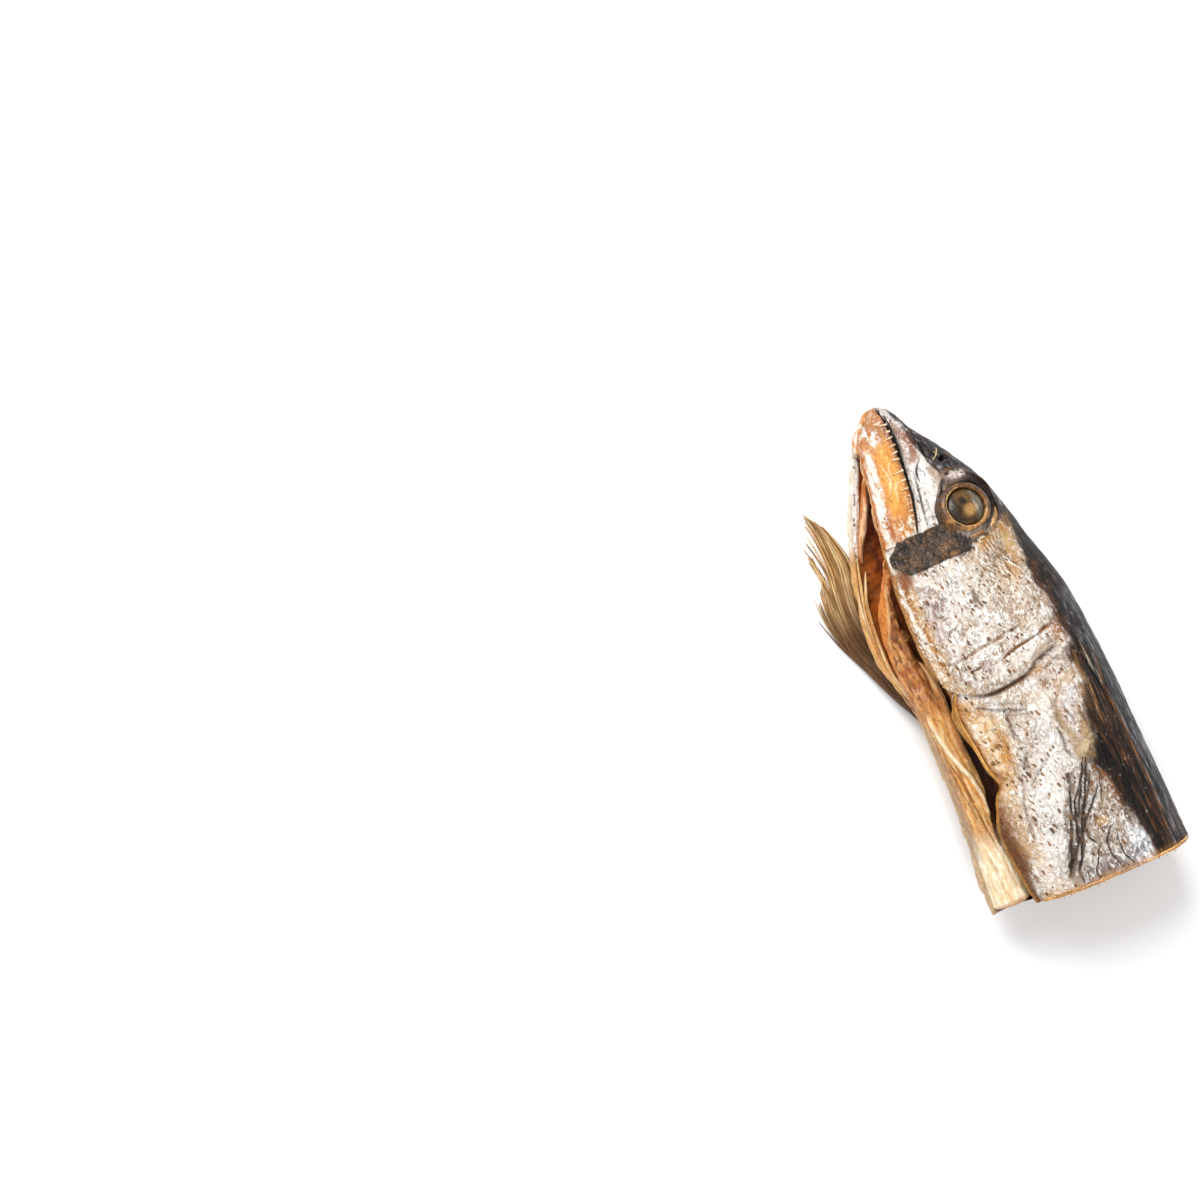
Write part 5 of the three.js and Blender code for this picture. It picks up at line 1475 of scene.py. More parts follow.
def make_eye(label, side):
    places, faces = turned(EYE_RING, 160)
    x, y, z = places.T
    radius, turn = np.hypot(x, y), np.arctan2(y, -x)  # turn 0 looks to the snout, a quarter to the back
    here = places + 50 * side
    coat = Coat(len(places), "#6b4520")
    coat.lay("#381f0e", smooth(rough(here, 2, 201, 3), -0.1, 0.4) * 0.8)
    coat.lay("#a8743a", smooth(rough(here, 1.6, 205, 3), 0.1, 0.45) * 0.7)
    # Painted highlight: a wide cream-tan patch on the ring's side towards the cut.
    rear = 1 - smooth(np.abs(np.arctan2(np.sin(turn - 2.9), np.cos(turn - 2.9))), 0.5, 1.1)
    coat.lay("#b98a52", rear * 0.7)
    coat.lay("#2a180b", near(radius - 4.85, 0.05, 0.22) * smooth(np.cos(turn - 1.2), -0.2, 0.4) * 0.75)
    coat.lay("#2f2318", smooth(radius, 5, 5.6) * smooth(np.sin(turn), -0.3, 0.5) * 0.9)
    coat.lay("#33261b", smooth(radius, 5.1, 5.6) * smooth(-np.cos(turn - 2.4), 0.2, 0.8) * 0.7)
    # Painted highlight: a cream-gold line along the ring's inner edge, strongest low on the ring.
    coat.lay("#d9b673", near(radius - 4.45, 0.08, 0.22)
        * smooth(rough(here, 1.6, 209, 2) - 0.4 * np.sin(turn), -0.1, 0.4) * 0.75)
    coat.lay("#2a1c10", fall(radius, 4.15, 4.3) * 0.85)
    places = places * (1.04, 1.08, 1) + (0, 0, 0.14) * rough(here, 1.8, 211, 2)[:, None]
    make_piece(f"eye_ring_{label}", set_in_eye(places, side), faces, coat.attributes(), HORN)

    places, faces = turned(EYE_LENS, 128)
    x, y, z = places.T
    here = places + 50 * side
    coat = Coat(len(places), "#4d3417")
    coat.lay("#6d6b5e", smooth(y + 0.4 * rough(here, 1.5, 221, 2), 0.8, 2.4) * 0.85)
    coat.lay("#b88a52", blot(x, y, (1, 0.3), (1.2, 1.6), 0.2) * 0.85)
    coat.lay("#7f5a2a", fall(np.hypot(x, y), 2.6, 3.9) * smooth(-x, -0.5, 2) * 0.5)
    coat.lay("#1c160c", smooth(-y, 0.6, 2.6) * 0.8)
    coat.lay("#0d0a06", blot(x, y, (-1.3, -0.5), (0.9, 0.8), 0.2) * 0.9)
    # Painted reflection: a thin light streak near the top of the lens.
    coat.lay("#c8c6c0", blot(x, y, (0.4, 2), (1.2, 0.25), 0.1) * 0.4)
    places = places * (1.04, 1.06, 1) + (0, 0, 0.1) * rough(here, 2, 225, 2)[:, None]
    make_piece(f"eye_lens_{label}", set_in_eye(places, side), faces, coat.attributes(), LENS)


make_eye("upper", UPPER)
make_eye("lower", LOWER)

BACKBONE = (
    7.5, [(0, -3), (2.6, -3), (3.05, -2), (3.05, 0.1), (2.9, 0.35), (2.5, 0.5), (2, 0.4), (1.4, 0),
        (0.7, -0.5), (0, -0.8)]
)
places, faces = turned(BACKBONE[1], 96)
x, y, rise = places.T
places = joined(-rise + 0.12 * rough(places, 1.2, 231, 2), BACKBONE[0] + x * 1.02, y * 0.96)
make_piece("backbone", places, faces, Coat(len(places), "#d8c09a").attributes(), BONE)


# --- The flesh of the cut face


def make_cut_flesh():
    outer, inner = [], []
    for side in (UPPER, LOWER):
        skin, wall = flank_outline(0, side, 150), even(hollow_outline(0, side, 200)[::-1], 150)
        outer.append(skin if side == LOWER else skin[:0:-1])
        inner.append(wall if side == LOWER else wall[:0:-1])
    outer, inner = np.vstack(outer), np.vstack(inner)
    wide = np.hypot(*(inner - outer).T)[:, None, None]
    share = np.linspace(0, 1, 44)[None, :, None]
    inset = np.minimum(0.5 / wide, 0.4)
    share = inset + (1 - 2 * inset) * share
    face = outer[:, None] + (inner - outer)[:, None] * share
    height, offset = face[..., 0], face[..., 1]
    flat = joined(0, height, offset)
    from_bone = np.hypot(height - BACKBONE[0], offset * 1.15)
    folded = np.hypot((np.abs(height - BACKBONE[0]) - 6) * 0.8, offset * 1.25 + 1.6 * np.sin(height / 2.4))
    ring = folded + 1.3 * rough(flat, 5, 241, 4)
    leaf = np.abs((ring / 2.9) % 1 - 0.5) * 2
    rise = 0.45 * rough(flat, 3, 245, 5, 0.6) + 0.22 * smooth(leaf, 0, 0.4) - 0.35
    rise -= 0.4 * near(offset - 0.25 * np.sin(height), 0.1, 0.5) * smooth(height, 10, 12)
    coat = Coat(height.size, "#955a2c", streaks=0.15)
    lay = coat.lay
    lay("#bd8448", smooth(rough(flat, (5, 3, 3), 251, 4), -0.05, 0.4) * 0.8)
    lay("#5f2f14", smooth(rough(flat, (5, 2.4, 2.4), 255, 4), 0.05, 0.45) * 0.75)
    lay("#d8ae76", fall(leaf, 0.02, 0.2) * smooth(rough(flat, (5, 2, 2), 257, 3), -0.2, 0.3) * 0.55)
    lay("#4d1a0e", smooth(np.abs(offset), 6.5, 10) * near(height - 6.5 + 0.6 * np.sin(offset), 0.8, 3.4)
        * 0.8)
    lay("#d9b98a", near(height - BACKBONE[0] - 0.04 * offset**2 * 0.3, 0.1, 0.35)
        * smooth(np.abs(offset), 3, 3.6) * 0.5)
    lay("#6e2a14", fall(from_bone, 3, 5) * 0.7)
    lay("#e9d6b0", near(offset, 0.15, 0.4) * smooth(height, 10.4, 11) * 0.8)
    lay("#5b3418", (smooth(share[..., 0] * wide[..., 0], 0, 1.2) < 0.4) * 0.4)
    outward = np.broadcast_to([-1.0, 0, 0], flat.shape)
    points, faces, edge = skirted(joined(0.12 - rise * 0.8, height, offset), outward, 1.2)
    attributes = {label: np.concatenate([value, value[edge]]) for label, value in coat.attributes().items()}
    make_piece("cut_flesh", points, faces, attributes, FLESH)


make_cut_flesh()


# --- Rods, bands and folds


def seen_path(*points):
    """A path through what is seen at (u, v) and lies that far above the middle plane."""
    u, v, offset = np.array(points, float).T
    return np.stack([*true_at(u, v, offset), offset], -1)


def band(name, path, across, deep, material, coat_of, relief_of=None, rows=220, sides=36, rounding=0.03):
    """A closed rod along a path, with rounded ends. Half its width across the view and half its depth are
    each a function of the share of its length."""
    line = sweep(path, 12)
    run = np.concatenate([[0], np.cumsum(np.linalg.norm(np.diff(line, axis=0), axis=1))])
    share = 0.5 - 0.5 * np.cos(np.linspace(0, math.pi, rows))
    share = 0.3 * share + 0.7 * np.linspace(0, 1, rows)
    middle = np.stack([np.interp(share * run[-1], run, line[:, i]) for i in range(3)], -1)
    ahead = np.gradient(middle, axis=0)
    side_on = joined(-ahead[:, 1], ahead[:, 0], 0)
    side_on /= np.linalg.norm(side_on, axis=1, keepdims=True)
    ends = np.sqrt(1 - (1 - np.clip(np.minimum(share, 1 - share) / rounding, 0, 1)) ** 2).clip(0.04)
    turn = np.arange(sides) * 2 * math.pi / sides
    wide = (across(share) * ends)[:, None, None] * np.cos(turn)[None, :, None] * side_on[:, None]
    tall = (deep(share) * ends)[:, None, None] * np.sin(turn)[None, :, None] * np.array([0, 0, 1])
    places = middle[:, None] + wide + tall
    outward = grid_normals(places, wrap=True)
    outward *= np.sign(np.sum(outward * (wide + tall)))
    grid_share = np.broadcast_to(share[:, None], places.shape[:2]).ravel()
    grid_turn = np.broadcast_to(turn[None], places.shape[:2]).ravel()
    flat = places.reshape(-1, 3)
    if relief_of:
        fade = smooth(np.minimum(share, 1 - share), 0.004, 0.05)
        out = relief_of(grid_share, grid_turn, flat) * np.repeat(fade, sides)
        places = places + outward * out.reshape(places.shape[:2])[..., None]
    coat = coat_of(grid_share, grid_turn, flat)
    faces = grid_faces(rows, sides, wrap=True)
    last = (rows - 1) * sides
    faces += [list(range(sides))[::-1], list(range(last, last + sides))]
    return make_piece(name, places, faces, coat.attributes(), material)


STRIP_CREST = [
    (48, -19.9), (46, -19.5), (40, -18.7), (33.9, -17.4), (30.4, -16.3), (26.5, -15.8), (20, -15.5)
]
STRIP_GROOVE = [(36, -19.6), (33, -18.9), (30, -18.4), (26, -18.1), (22, -17.8), (16, -17.2), (12, -17)]
STRIP_FRONT_PIT = [(77, -14.4), (72, -14.6), (67, -15.2), (65.5, -16.4), (69, -16.8), (74, -16)]
STRIP_REAR_PIT = [(64.5, -15), (60, -14.9), (57, -15.6), (60, -16.4), (64, -16.2)]
UNDER_FOLD = [(38, -14.3), (33, -13.6), (28, -13.2), (24, -14), (20, -14.9), (16, -15.5), (12.5, -15.8)]


def strip_coat(share, turn, places):
    station, height, offset = places.T
    u, v = seen_at(station, height, np.maximum(offset, 0))
    fine = rough(places, (3, 0.9, 0.9), 261, 3)
    long = rough(places, (10, 0.7, 0.7), 265, 4, 0.6)
    coat = Coat(len(u), "#cc8a48", streaks=0.5)
    lay, area, stroke = coat.lay, functools.partial(within, u, v), functools.partial(mark, u, v)
    lay("#e0ab74", smooth(fine, -0.1, 0.4) * 0.7)
    lay("#a45f24", smooth(-fine, 0.1, 0.5) * 0.6)
    lay("#d39a77", area([(66, -17), (58, -17.6), (48, -17), (46, -18.8), (52, -20.4), (62, -20.6)], 1.2)
        * smooth(rough(places, 2, 269, 3), -0.1, 0.4) * 0.7)
    tail = fall(u, 12, 20)
    middle = smooth(u, 14, 22) * fall(u, 44, 50)
    lay("#dc9f50", middle * 0.75)
    lay("#b87032", middle * smooth(long, 0, 0.4) * 0.7)
    lay("#f3dcaa", middle * smooth(-long, 0.12, 0.4) * 0.5)
    lay("#f1dfba", tail * 0.9, streaks=0.12)
    lay("#f9f0dc", tail * smooth(fine, 0, 0.4) * 0.8)
    lay("#d3a868", tail * smooth(-long, 0.15, 0.5) * 0.45)
    lay("#f6e7c6", stroke(STRIP_CREST, 0.22, 0.4) * 0.9)
    lay("#e8c894", stroke([(47, -19.2), (40, -18.1), (34.5, -16.8), (30, -15.8)], 0.15, 0.3) * 0.6)
    for points, dark in (
        (STRIP_GROOVE, 0.85),
        ([(34, -19.8), (28, -19.3), (24, -18.7), (18, -18.3)], 0.7),
        ([(24, -17), (19, -16.6), (14, -16.5)], 0.5), ([(14, -19.6), (8, -19.4), (3, -19.6)], 0.35),
        ([(66, -18.2), (60, -17.8), (54, -16.9), (48, -16.4), (40, -15.9)], 0.55),
    ):
        lay("#7b4f26", mark(u, v + 0.12 * fine, points, 0.1, 0.28) * dark)
    lay("#a8917f", area([(44, -20.4), (34, -19.8), (20, -20.6), (12, -21.4), (12, -24), (44, -22)], 1) * 0.6)
    # Painted shade: the groove under the flank's rim is dark.
    lay("#3b1a09", stroke(UNDER_FOLD, 0.35, 0.5) * 0.95, streaks=0.1)
    front = smooth(u, 44, 52)
    lay("#9c4f24", front * smooth(rough(places, (4, 1.4, 1.4), 273, 4), 0.0, 0.4) * 0.7)
    lay("#5c2c12", front * fall(wrinkled(places, (5, 1.7, 1.7), 275), 0.08, 0.3) * 0.7)
    # Painted shade: the hollow below the gill cover and its two pits are dark red-brown.
    lay("#7a3a12", area([(78, -14), (72, -14.2), (64, -14.6), (57, -14.8), (56, -16), (62, -16.8), (67, -18),
        (72, -17.8), (76, -16.2)], 0.9) * smooth(rough(places, 2, 267, 3), -0.5, 0.2) * 0.85)
    lay("#45200c", area(STRIP_FRONT_PIT, 0.7) * 0.9)
    lay("#5a2a10", area(STRIP_REAR_PIT, 0.6) * 0.85)
    lay("#d97d25", smooth(u, 56, 62) * fall(v - bar_foot_height(u), 0.2, 1) * 0.8)
    lay("#e9b97c", smooth(u, 62, 66) * near(v - bar_foot_height(u) - 0.9, 0.1, 0.5) * 0.7)
    lay("#c0662a", smooth(u, 76, 79) * 0.6)
    lay("#a5652c", fall(u, 0.6, 1.6) * 0.6)
    return coat


bar_foot_height = profile(
    (40, -18.6), (46.7, -19.6), (50.7, -20.5), (55, -21.7), (60, -22), (65.2, -21.5), (68.3, -20.3),
    (72.2, -18.8), (76.9, -17.4), (80, -15.3)
)


def strip_relief(share, turn, places):
    station, height, offset = places.T
    u, v = seen_at(station, height, np.maximum(offset, 0))
    deep = smooth(u, 34, 50)
    out = (
        0.3 * rough(places, (6, 1.6, 1.6), 271, 3)
        + (0.12 + 0.18 * deep) * (wrinkled(places, (5, 1.7, 1.7), 275) - 0.5)
    )
    out += 0.2 * rough(places, (14, 0.8, 0.8), 279, 3) * (1 - deep)
    out += 0.75 * mark(u, v, STRIP_CREST, 0.15, 1)
    out -= 0.45 * mark(u, v, STRIP_GROOVE, 0.12, 0.6)
    out -= 0.8 * within(u, v, STRIP_FRONT_PIT, 0.8)
    out -= 0.7 * mark(u, v, UNDER_FOLD, 0.4, 0.9)
    out -= 0.7 * within(u, v, STRIP_REAR_PIT, 0.7)
    return out


stations = np.linspace(0.6, STRIP_TIP + 0.8, 40)
band(
    "belly_strip", joined(stations, strip_height(stations), strip_offset(stations)),
    lambda share: strip_half_height(STRIP_TIP * share), lambda share: strip_half_offset(STRIP_TIP * share),
    FLESH, strip_coat, strip_relief, rows=330, sides=96, rounding=0.012,
)


def folded_flesh(ground, pale, dark, seed):
    """Colours of a dried membrane: streaks along it, pale where it is thin at its outer edge."""
    def coat_of(share, turn, places):
        long = rough(joined(4 * share, 1.3 * np.cos(turn), 1.3 * np.sin(turn)), 1, seed, 4)
        coat = Coat(len(share), ground, streaks=0.35)
        coat.lay(dark, smooth(-long, 0, 0.4) * 0.7)
        coat.lay(pale, smooth(long, 0, 0.35) * 0.7)
        coat.lay(pale, smooth(-np.cos(turn), 0.3, 0.9) * 0.8)
        return coat
    return coat_of


def ripples(size, seed):
    return lambda share, turn, places: size * rough(
        joined(4 * share, 1.4 * np.cos(turn), 1.4 * np.sin(turn)), 1, seed, 4
    )


def swell(share, power=0.5):
    return np.sin(math.pi * np.clip(share, 0.01, 0.99)) ** power


def fold(
    name, path, wide, deep, tones, seed, rise, rows, sides, ends=(0.5, 0.5), material=FLESH, rounding=0.03
):
    """A dried fold of flesh or skin along a path, thickest at its middle, with ripples that rise that far."""
    band(
        name, path, lambda share: wide * swell(share, ends[0]), lambda share: deep * swell(share, ends[1]),
        material,
        folded_flesh(*tones, seed), ripples(rise, seed + 4), rows, sides, rounding,
    )


fold(
    "throat_lobe",
    seen_path((59, -16.2, 1.6), (56, -15.3, 2), (52, -15.1, 2.2), (46, -15.3, 2), (38, -15.6, 1.6),
        (29, -15.6, 1)),
    1.15, 1.6, ("#cf9150", "#eec391", "#9c5a24"), 281, 0.3, 160, 32,
)
THROAT_MEMBRANES = (
    (
        ((82.5, -18.9, -2.6), (79, -20.4, -3), (75, -21.8, -3.4), (70, -22.5, -3.8), (65, -22.9, -4),
         (60, -22.9, -3.8), (55, -22, -3.4), (49, -20.9, -2.6)), 0.42, 1.4, ("#e9b56e", "#fff0cf", "#b56c25"),
    ), (
        ((86, -19.4, -3.2), (82, -20.6, -3.6), (76, -22.3, -4.2), (70, -23.3, -4.8), (65, -23.7, -5),
         (60, -23.5, -4.8), (55, -22.4, -4.2), (50, -21.2, -3.4)), 0.4, 1.5,
         ("#dba45c", "#f8dfae", "#9a5d24"),
    ), (
        ((90, -18.6, -3.8), (84, -20.7, -4.4), (77, -22.8, -5), (71, -23.9, -5.6), (65, -24.4, -5.8),
         (60, -23.9, -5.6), (54, -22.4, -5), (48, -21.2, -4.2)), 0.38, 1.4, ("#c48b4b", "#f3dcb4", "#8f5a2a"),
    ),
)
for number, (path, wide, deep, tones) in enumerate(THROAT_MEMBRANES):
    band(
        f"throat_membrane_{number + 1}", seen_path(*path), lambda share, wide=wide: wide * swell(share, 0.4),
        lambda share, deep=deep: deep * swell(share, 0.6), FLESH, folded_flesh(*tones, 291 + 9 * number),
        ripples(0.16, 321 + number), 260, 20,
    )
fold(
    "jaw_lining",
    seen_path(
        (102.8, -9.9, -1.4), (99, -11.8, -1.9), (95, -13.6, -2.4), (91.5, -15.6, -3), (88, -17.7, -3.6),
        (84, -19.1, -4)
    ),
    0.95, 2.2, ("#cf8746", "#f3cba8", "#a8541a"), 331, 0.3, 200, 32, (0.6, 0.5),
)


def far_jaw_coat(share, turn, places):
    fine = rough(places, (2.4, 1, 1), 341, 3)
    coat = Coat(len(share), "#ece4da", pores=0.35, chalk=0.8, streaks=0)
    lay = coat.lay
    lay("#cdb08a", smooth(fine, 0.1, 0.5) * 0.7)
    lay("#c4915a", smooth(-np.cos(turn), 0.5, 0.95) * 0.8)
    lay("#c9995f", smooth(np.cos(turn), 0.6, 0.98) * 0.7)
    lay("#d2a76c", smooth(share, 0.75, 0.95) * 0.6)
    for at in (0.33, 0.36, 0.385, 0.41, 0.545, 0.59, 0.63):
        lay("#4a3527", blot(share * 24, np.cos(turn) * 1.1, (at * 24, 0.25), (0.32, 0.28))
            * (np.sin(turn) > 0) * 0.9)
    return coat


band(
    "far_jaw_bone",
    seen_path(
        (107, -10.9, -2.2), (104.5, -11.7, -2.4), (100, -13.8, -2.9), (95, -16, -3.5), (91, -17.8, -4),
        (87, -19.4, -4.5), (83, -20.9, -5),
    ),
    profile((0, 1.05), (0.5, 1.12), (1, 0.6)), profile((0, 1), (0.5, 1.3), (1, 0.9)), SKIN, far_jaw_coat,
    ripples(0.14, 345), 240, 40, 0.05,
)
fold(
    "chin_lump", seen_path((110.2, -8.5, -0.6), (109.2, -9.2, -0.7), (108, -9.9, -0.8), (106.9, -10.3, -1)),
    1.05, 1.3, ("#b98a4a", "#e9cf94", "#6e4a24"), 351, 0.35, 60, 28,
)
fold(
    "near_throat_rag", seen_path((83, -13.9, 4.6), (81.4, -14.4, 4.5), (80, -14.6, 4.2), (78, -14.3, 3.8)),
    0.62, 0.8, ("#b8641f", "#e8a860", "#5a2a0c"), 361, 0.45, 60, 28,
)
fold(
    "belly_fold_edge",
    seen_path(
        (49.3, -11.4, 9), (47, -12.6, 8.7), (44, -13.4, 8.4), (40, -13.2, 8.3), (35, -12.4, 8.4),
        (31, -12, 8.4),
        (27.6, -11, 8.5), (25.7, -10.5, 8.6),
    ),
    0.42, 0.7, ("#c98a34", "#f0ca82", "#94561c"), 371, 0.14, 200, 24, (0.35, 0.4),
)
fold(
    "skin_tag", seen_path((2.4, 22.9, 1), (0.4, 22.9, 1.2), (-0.8, 22.7, 1.4), (-1.7, 22.1, 1.6)),
    0.45, 0.5, ("#a5703c", "#d3a26a", "#6e451f"), 381, 0.12, 50, 20, (0.6, 0.5), HORN, 0.1,
)

EYE_FOLDS = (
    ("eyelid", [(84, 13.6), (82, 12.9), (80.6, 11.3), (79.8, 9), (79.8, 6.6), (80.6, 4.6), (82, 3.3)], 0.75,
     ("#a37440", "#d6ab76", "#4a2e18")),
    ("brow", [(94.2, 7.6), (93.6, 10.6), (91.6, 12.8), (88.6, 14), (85.6, 14.2), (82.6, 13.9), (80.6, 12.9)],
        0.32,
     ("#2a1b12", "#6b4a30", "#0f0a08")),
    ("eye_fold", [(94.8, 5.4), (92.8, 3.9), (90.8, 2.7), (88.6, 1.8), (86.4, 1.5)], 0.34,
     ("#3a2a20", "#8a7464", "#120c0a")),
)
for label, side in (("upper", UPPER), ("lower", LOWER)):
    for name, line, wide, tones in EYE_FOLDS:
        station, height, offset = under_sight(*np.array(line).T, UPPER)
        path = joined(station, height, side * (offset + 0.15))
        fold(f"{name}_{label}", path, wide, 0.75, tones, 431, 0.2, 110, 20, (0.6, 0.6), HORN)

outline = body_outline(0)
upper_edge = outline[:FLANK_POINTS[UPPER] + 2]
lower_edge = np.vstack([outline[-FLANK_POINTS[LOWER]:], outline[:1]])
for label, line in (("upper", upper_edge[::6]), ("lower", lower_edge[::5])):
    path = np.column_stack([np.full(len(line), 0.05), line])
    path[:, 0] += 0.18 * bumps(path / 3.1, 391)
    tones = ("#bb8648", "#e2b67b", "#7c5228")
    fold(f"cut_rim_{label}", path, 0.36, 0.36, tones, 393, 0.12, 420, 14, (0, 0), HORN, 0.01)


# --- What grows in numbers: fin rays, teeth and loose fibres, by Geometry Nodes


def node_group(name, setting):
    """A tree for a mesh, with one whole number as its named setting, and that number's identifier."""
    tree = bpy.data.node_groups.new(name, "GeometryNodeTree")
    tree.interface.new_socket("Geometry", in_out="INPUT", socket_type="NodeSocketGeometry")
    number = tree.interface.new_socket(setting, in_out="INPUT", socket_type="NodeSocketInt").identifier
    tree.interface.new_socket("Geometry", in_out="OUTPUT", socket_type="NodeSocketGeometry")
    return tree, number, tree.nodes.new("NodeGroupInput").outputs


def named_value(tree, name):
    settings = {"data_type": "FLOAT", "Name": name}
    return add(tree, "GeometryNodeInputNamedAttribute", settings).outputs["Attribute"]


def close_tree(tree, geometry, material):
    """Ends a tree with plain, smooth geometry of one material."""
    plain = add(tree, "GeometryNodeRealizeInstances", links={"Geometry": geometry}).outputs["Geometry"]
    soft = add(tree, "GeometryNodeSetShadeSmooth", links={"Geometry": plain}).outputs["Geometry"]
    done = add(tree, "GeometryNodeSetMaterial", {"Material": material}, {"Geometry": soft}).outputs[
        "Geometry"
    ]
    tree.links.new(done, tree.nodes.new("NodeGroupOutput").inputs["Geometry"])


def rod_tree(material):
    """Rods along edges, as thick as each point's own radius."""
    tree, number, source = node_group("rods", "Sides")
    curve = add(tree, "GeometryNodeMeshToCurve", links={"Mesh": source["Geometry"]}).outputs["Curve"]
    ring = add(tree, "GeometryNodeCurvePrimitiveCircle", {"Radius": 1.0}, {"Resolution": source["Sides"]})
    ends = {"Curve": curve, "Profile Curve": ring.outputs["Curve"], "Scale": named_value(tree, "thickness")}
    rods = add(tree, "GeometryNodeCurveToMesh", {"Fill Caps": True}, ends).outputs["Mesh"]
    close_tree(tree, rods, material)
    return tree, number


def tooth_tree(material):
    """A small cone on each point, tilted by chance, as large as the point's own size."""
    tree, number, source = node_group("teeth", "Seed")
    shape = {
        "Vertices": 10, "Side Segments": 5, "Radius Top": 0.0001, "Radius Bottom": 0.00024, "Depth": 0.0019,
    }
    cone = add(tree, "GeometryNodeMeshCone", shape).outputs["Mesh"]
    tilt = add(tree, "FunctionNodeRandomValue", {"data_type": "FLOAT_VECTOR"}, {"Seed": source["Seed"]})
    tilt.inputs[0].default_value = (math.pi / 2 - 0.25, -0.2, -0.2)
    tilt.inputs[1].default_value = (math.pi / 2 + 0.25, 0.2, 0.2)
    dots = add(tree, "GeometryNodeMeshToPoints", links={"Mesh": source["Geometry"]}).outputs["Points"]
    inputs = {
        "Points": dots, "Instance": cone, "Rotation": tilt.outputs[0], "Scale": named_value(tree, "size")
    }
    teeth = add(tree, "GeometryNodeInstanceOnPoints", links=inputs).outputs["Instances"]
    close_tree(tree, teeth, material)
    return tree, number


def grow(name, points, edges, attributes, grower, number, material):
    """Runs a tree over points and edges with its number set, and keeps the outcome as a plain piece."""
    tree, identifier = grower(material)
    mesh = bpy.data.meshes.new(name + "_seeds")
    mesh.from_pydata(to_row(*np.asarray(points, float).T).tolist(), edges, [])
    put_values(mesh, attributes)
    seeds = add_object(name + "_seeds", mesh)
    modifier = seeds.modifiers.new("grow", "NODES")
    modifier.node_group = tree
    modifier[identifier] = number
    bpy.context.view_layer.update()
    grown = bpy.data.meshes.new_from_object(seeds.evaluated_get(bpy.context.evaluated_depsgraph_get()))
    seeds.modifiers.remove(modifier)
    bpy.data.objects.remove(seeds)
    grown.name = name
    grown.materials.clear()
    grown.materials.append(material)
    grown.polygons.foreach_set("material_index", [0] * len(grown.polygons))
    return add_piece(name, grown)


def make_rods(name, lines, thick, coats, material, sides=7):
    """Rods along lines of places, each with its points' radii in millimetres and colours."""
    edges, start = [], 0
    for line in lines:
        edges += [(start + i, start + i + 1) for i in range(len(line) - 1)]
        start += len(line)
    attributes = {"thickness": np.concatenate(thick) * MM, "coat": np.vstack(coats)}
    return grow(name, np.vstack(lines), edges, attributes, rod_tree, sides, material)


chance = np.random.default_rng(7)


def make_fin():
    """The lower flank's fin, bent forwards: a web near the root and rays that split into loose bristles."""
    lines, thick, coats = [], [], []
    rays = 60
    for number in range(rays):
        share = (number + 0.5 + 0.5 * (chance.random() - 0.5)) / rays
        tip = fin_tip_station(share) - chance.random() ** 2 * 5
        at = np.linspace(0, 1, 34)
        station = FIN_ROOT + (tip - FIN_ROOT) * at
        height = fin_upper_edge(station) + (fin_lower_edge(station) - fin_upper_edge(station)) * share
        loose = np.clip((at - 0.62) / 0.38, 0, 1) ** 2
        height = (
            height + fin_tip_curl(share) * loose * 1.1 + 0.35 * bumps(joined(at * 2.5, share * 9, 0), 401)
        )
        offset = (
            fin_offset(station) + 0.45 * chance.normal() * smooth(at, 0.2, 0.6)
            + 0.5 * bumps(joined(at * 3, share * 13, 0), 405)
        )
        lines.append(joined(station, height, np.maximum(offset, 0.45 - REST_DEPTH)))
        thick.append((0.26 + 0.16 * chance.random()) * (1 - 0.65 * at**2.5))
        tone = linear(("#bd9460", "#a67b42", "#d3b487", "#8d6431")[number % 4])
        brown = fall(station, 66, 84)[:, None]
        coats.append(tone * (1 - brown) + linear("#573615") * brown)
    make_rods("fin_rays", lines, thick, coats, FIN)

    along, across = grid(150, 110)
    tip = fin_tip_station(across)
    station = FIN_ROOT + (tip - FIN_ROOT) * (0.8 + 0.13 * bumps(joined(across * 16, 0, 0), 411)) * along
    height = (
        fin_upper_edge(station) + (fin_lower_edge(station) - fin_upper_edge(station))
        * (0.015 + 0.97 * across)
    )
    height = height + 0.3 * bumps(joined(along * 2.5, across * 9, 0), 401)
    ridge = 0.16 * np.sin(across * 60 * math.pi) + 0.35 * rough(joined(along * 4, across * 12, 0), 1, 415, 3)
    places = joined(station, height, fin_offset(station) + ridge)
    flat = places.reshape(-1, 3)
    coat = Coat(len(flat), "#9c7440")
    long = rough(flat, (12, 0.7, 9), 421, 3)
    coat.lay("#c7a26c", smooth(long, 0.05, 0.4) * 0.8)
    coat.lay("#744b22", smooth(-long, 0, 0.4) * 0.75)
    coat.lay("#543518", fall(station.ravel(), 66, 84) * 0.85)
    coat.lay("#7c6a55", blot(*seen_at(flat[:, 0], flat[:, 1], flat[:, 2])[:2], (86.5, -24), (2.5, 0.8), 0.1)
        * 0.6)
    points, faces, edge = skirted(places, np.broadcast_to([0, 0, 1.0], places.shape), 0.3)
    attributes = {label: np.concatenate([value, value[edge]]) for label, value in coat.attributes().items()}
    make_piece("fin_web", points, faces, attributes, FIN)


def make_teeth():
    points, sizes = [], []
    spots = (110.7, 109, 107.7, 105.8, 104.2, 102.5, 99.8, 97.7, 95.7, 94, 92.4, 90.8, 89.6, 88.3)
    for side in (UPPER, LOWER):
        for number, u in enumerate(spots):
            v = mouth_seen(u) - 0.05
            station, height, offset = (float(value) for value in under_sight(u, v, UPPER))
            points.append((station, height - 0.35, side * (offset + 0.12)))
            sizes.append((1.0 if number < 9 else 0.75) * (0.85 + 0.3 * chance.random()))
    grow("teeth", points, [], {"size": sizes}, tooth_tree, 5, BONE)


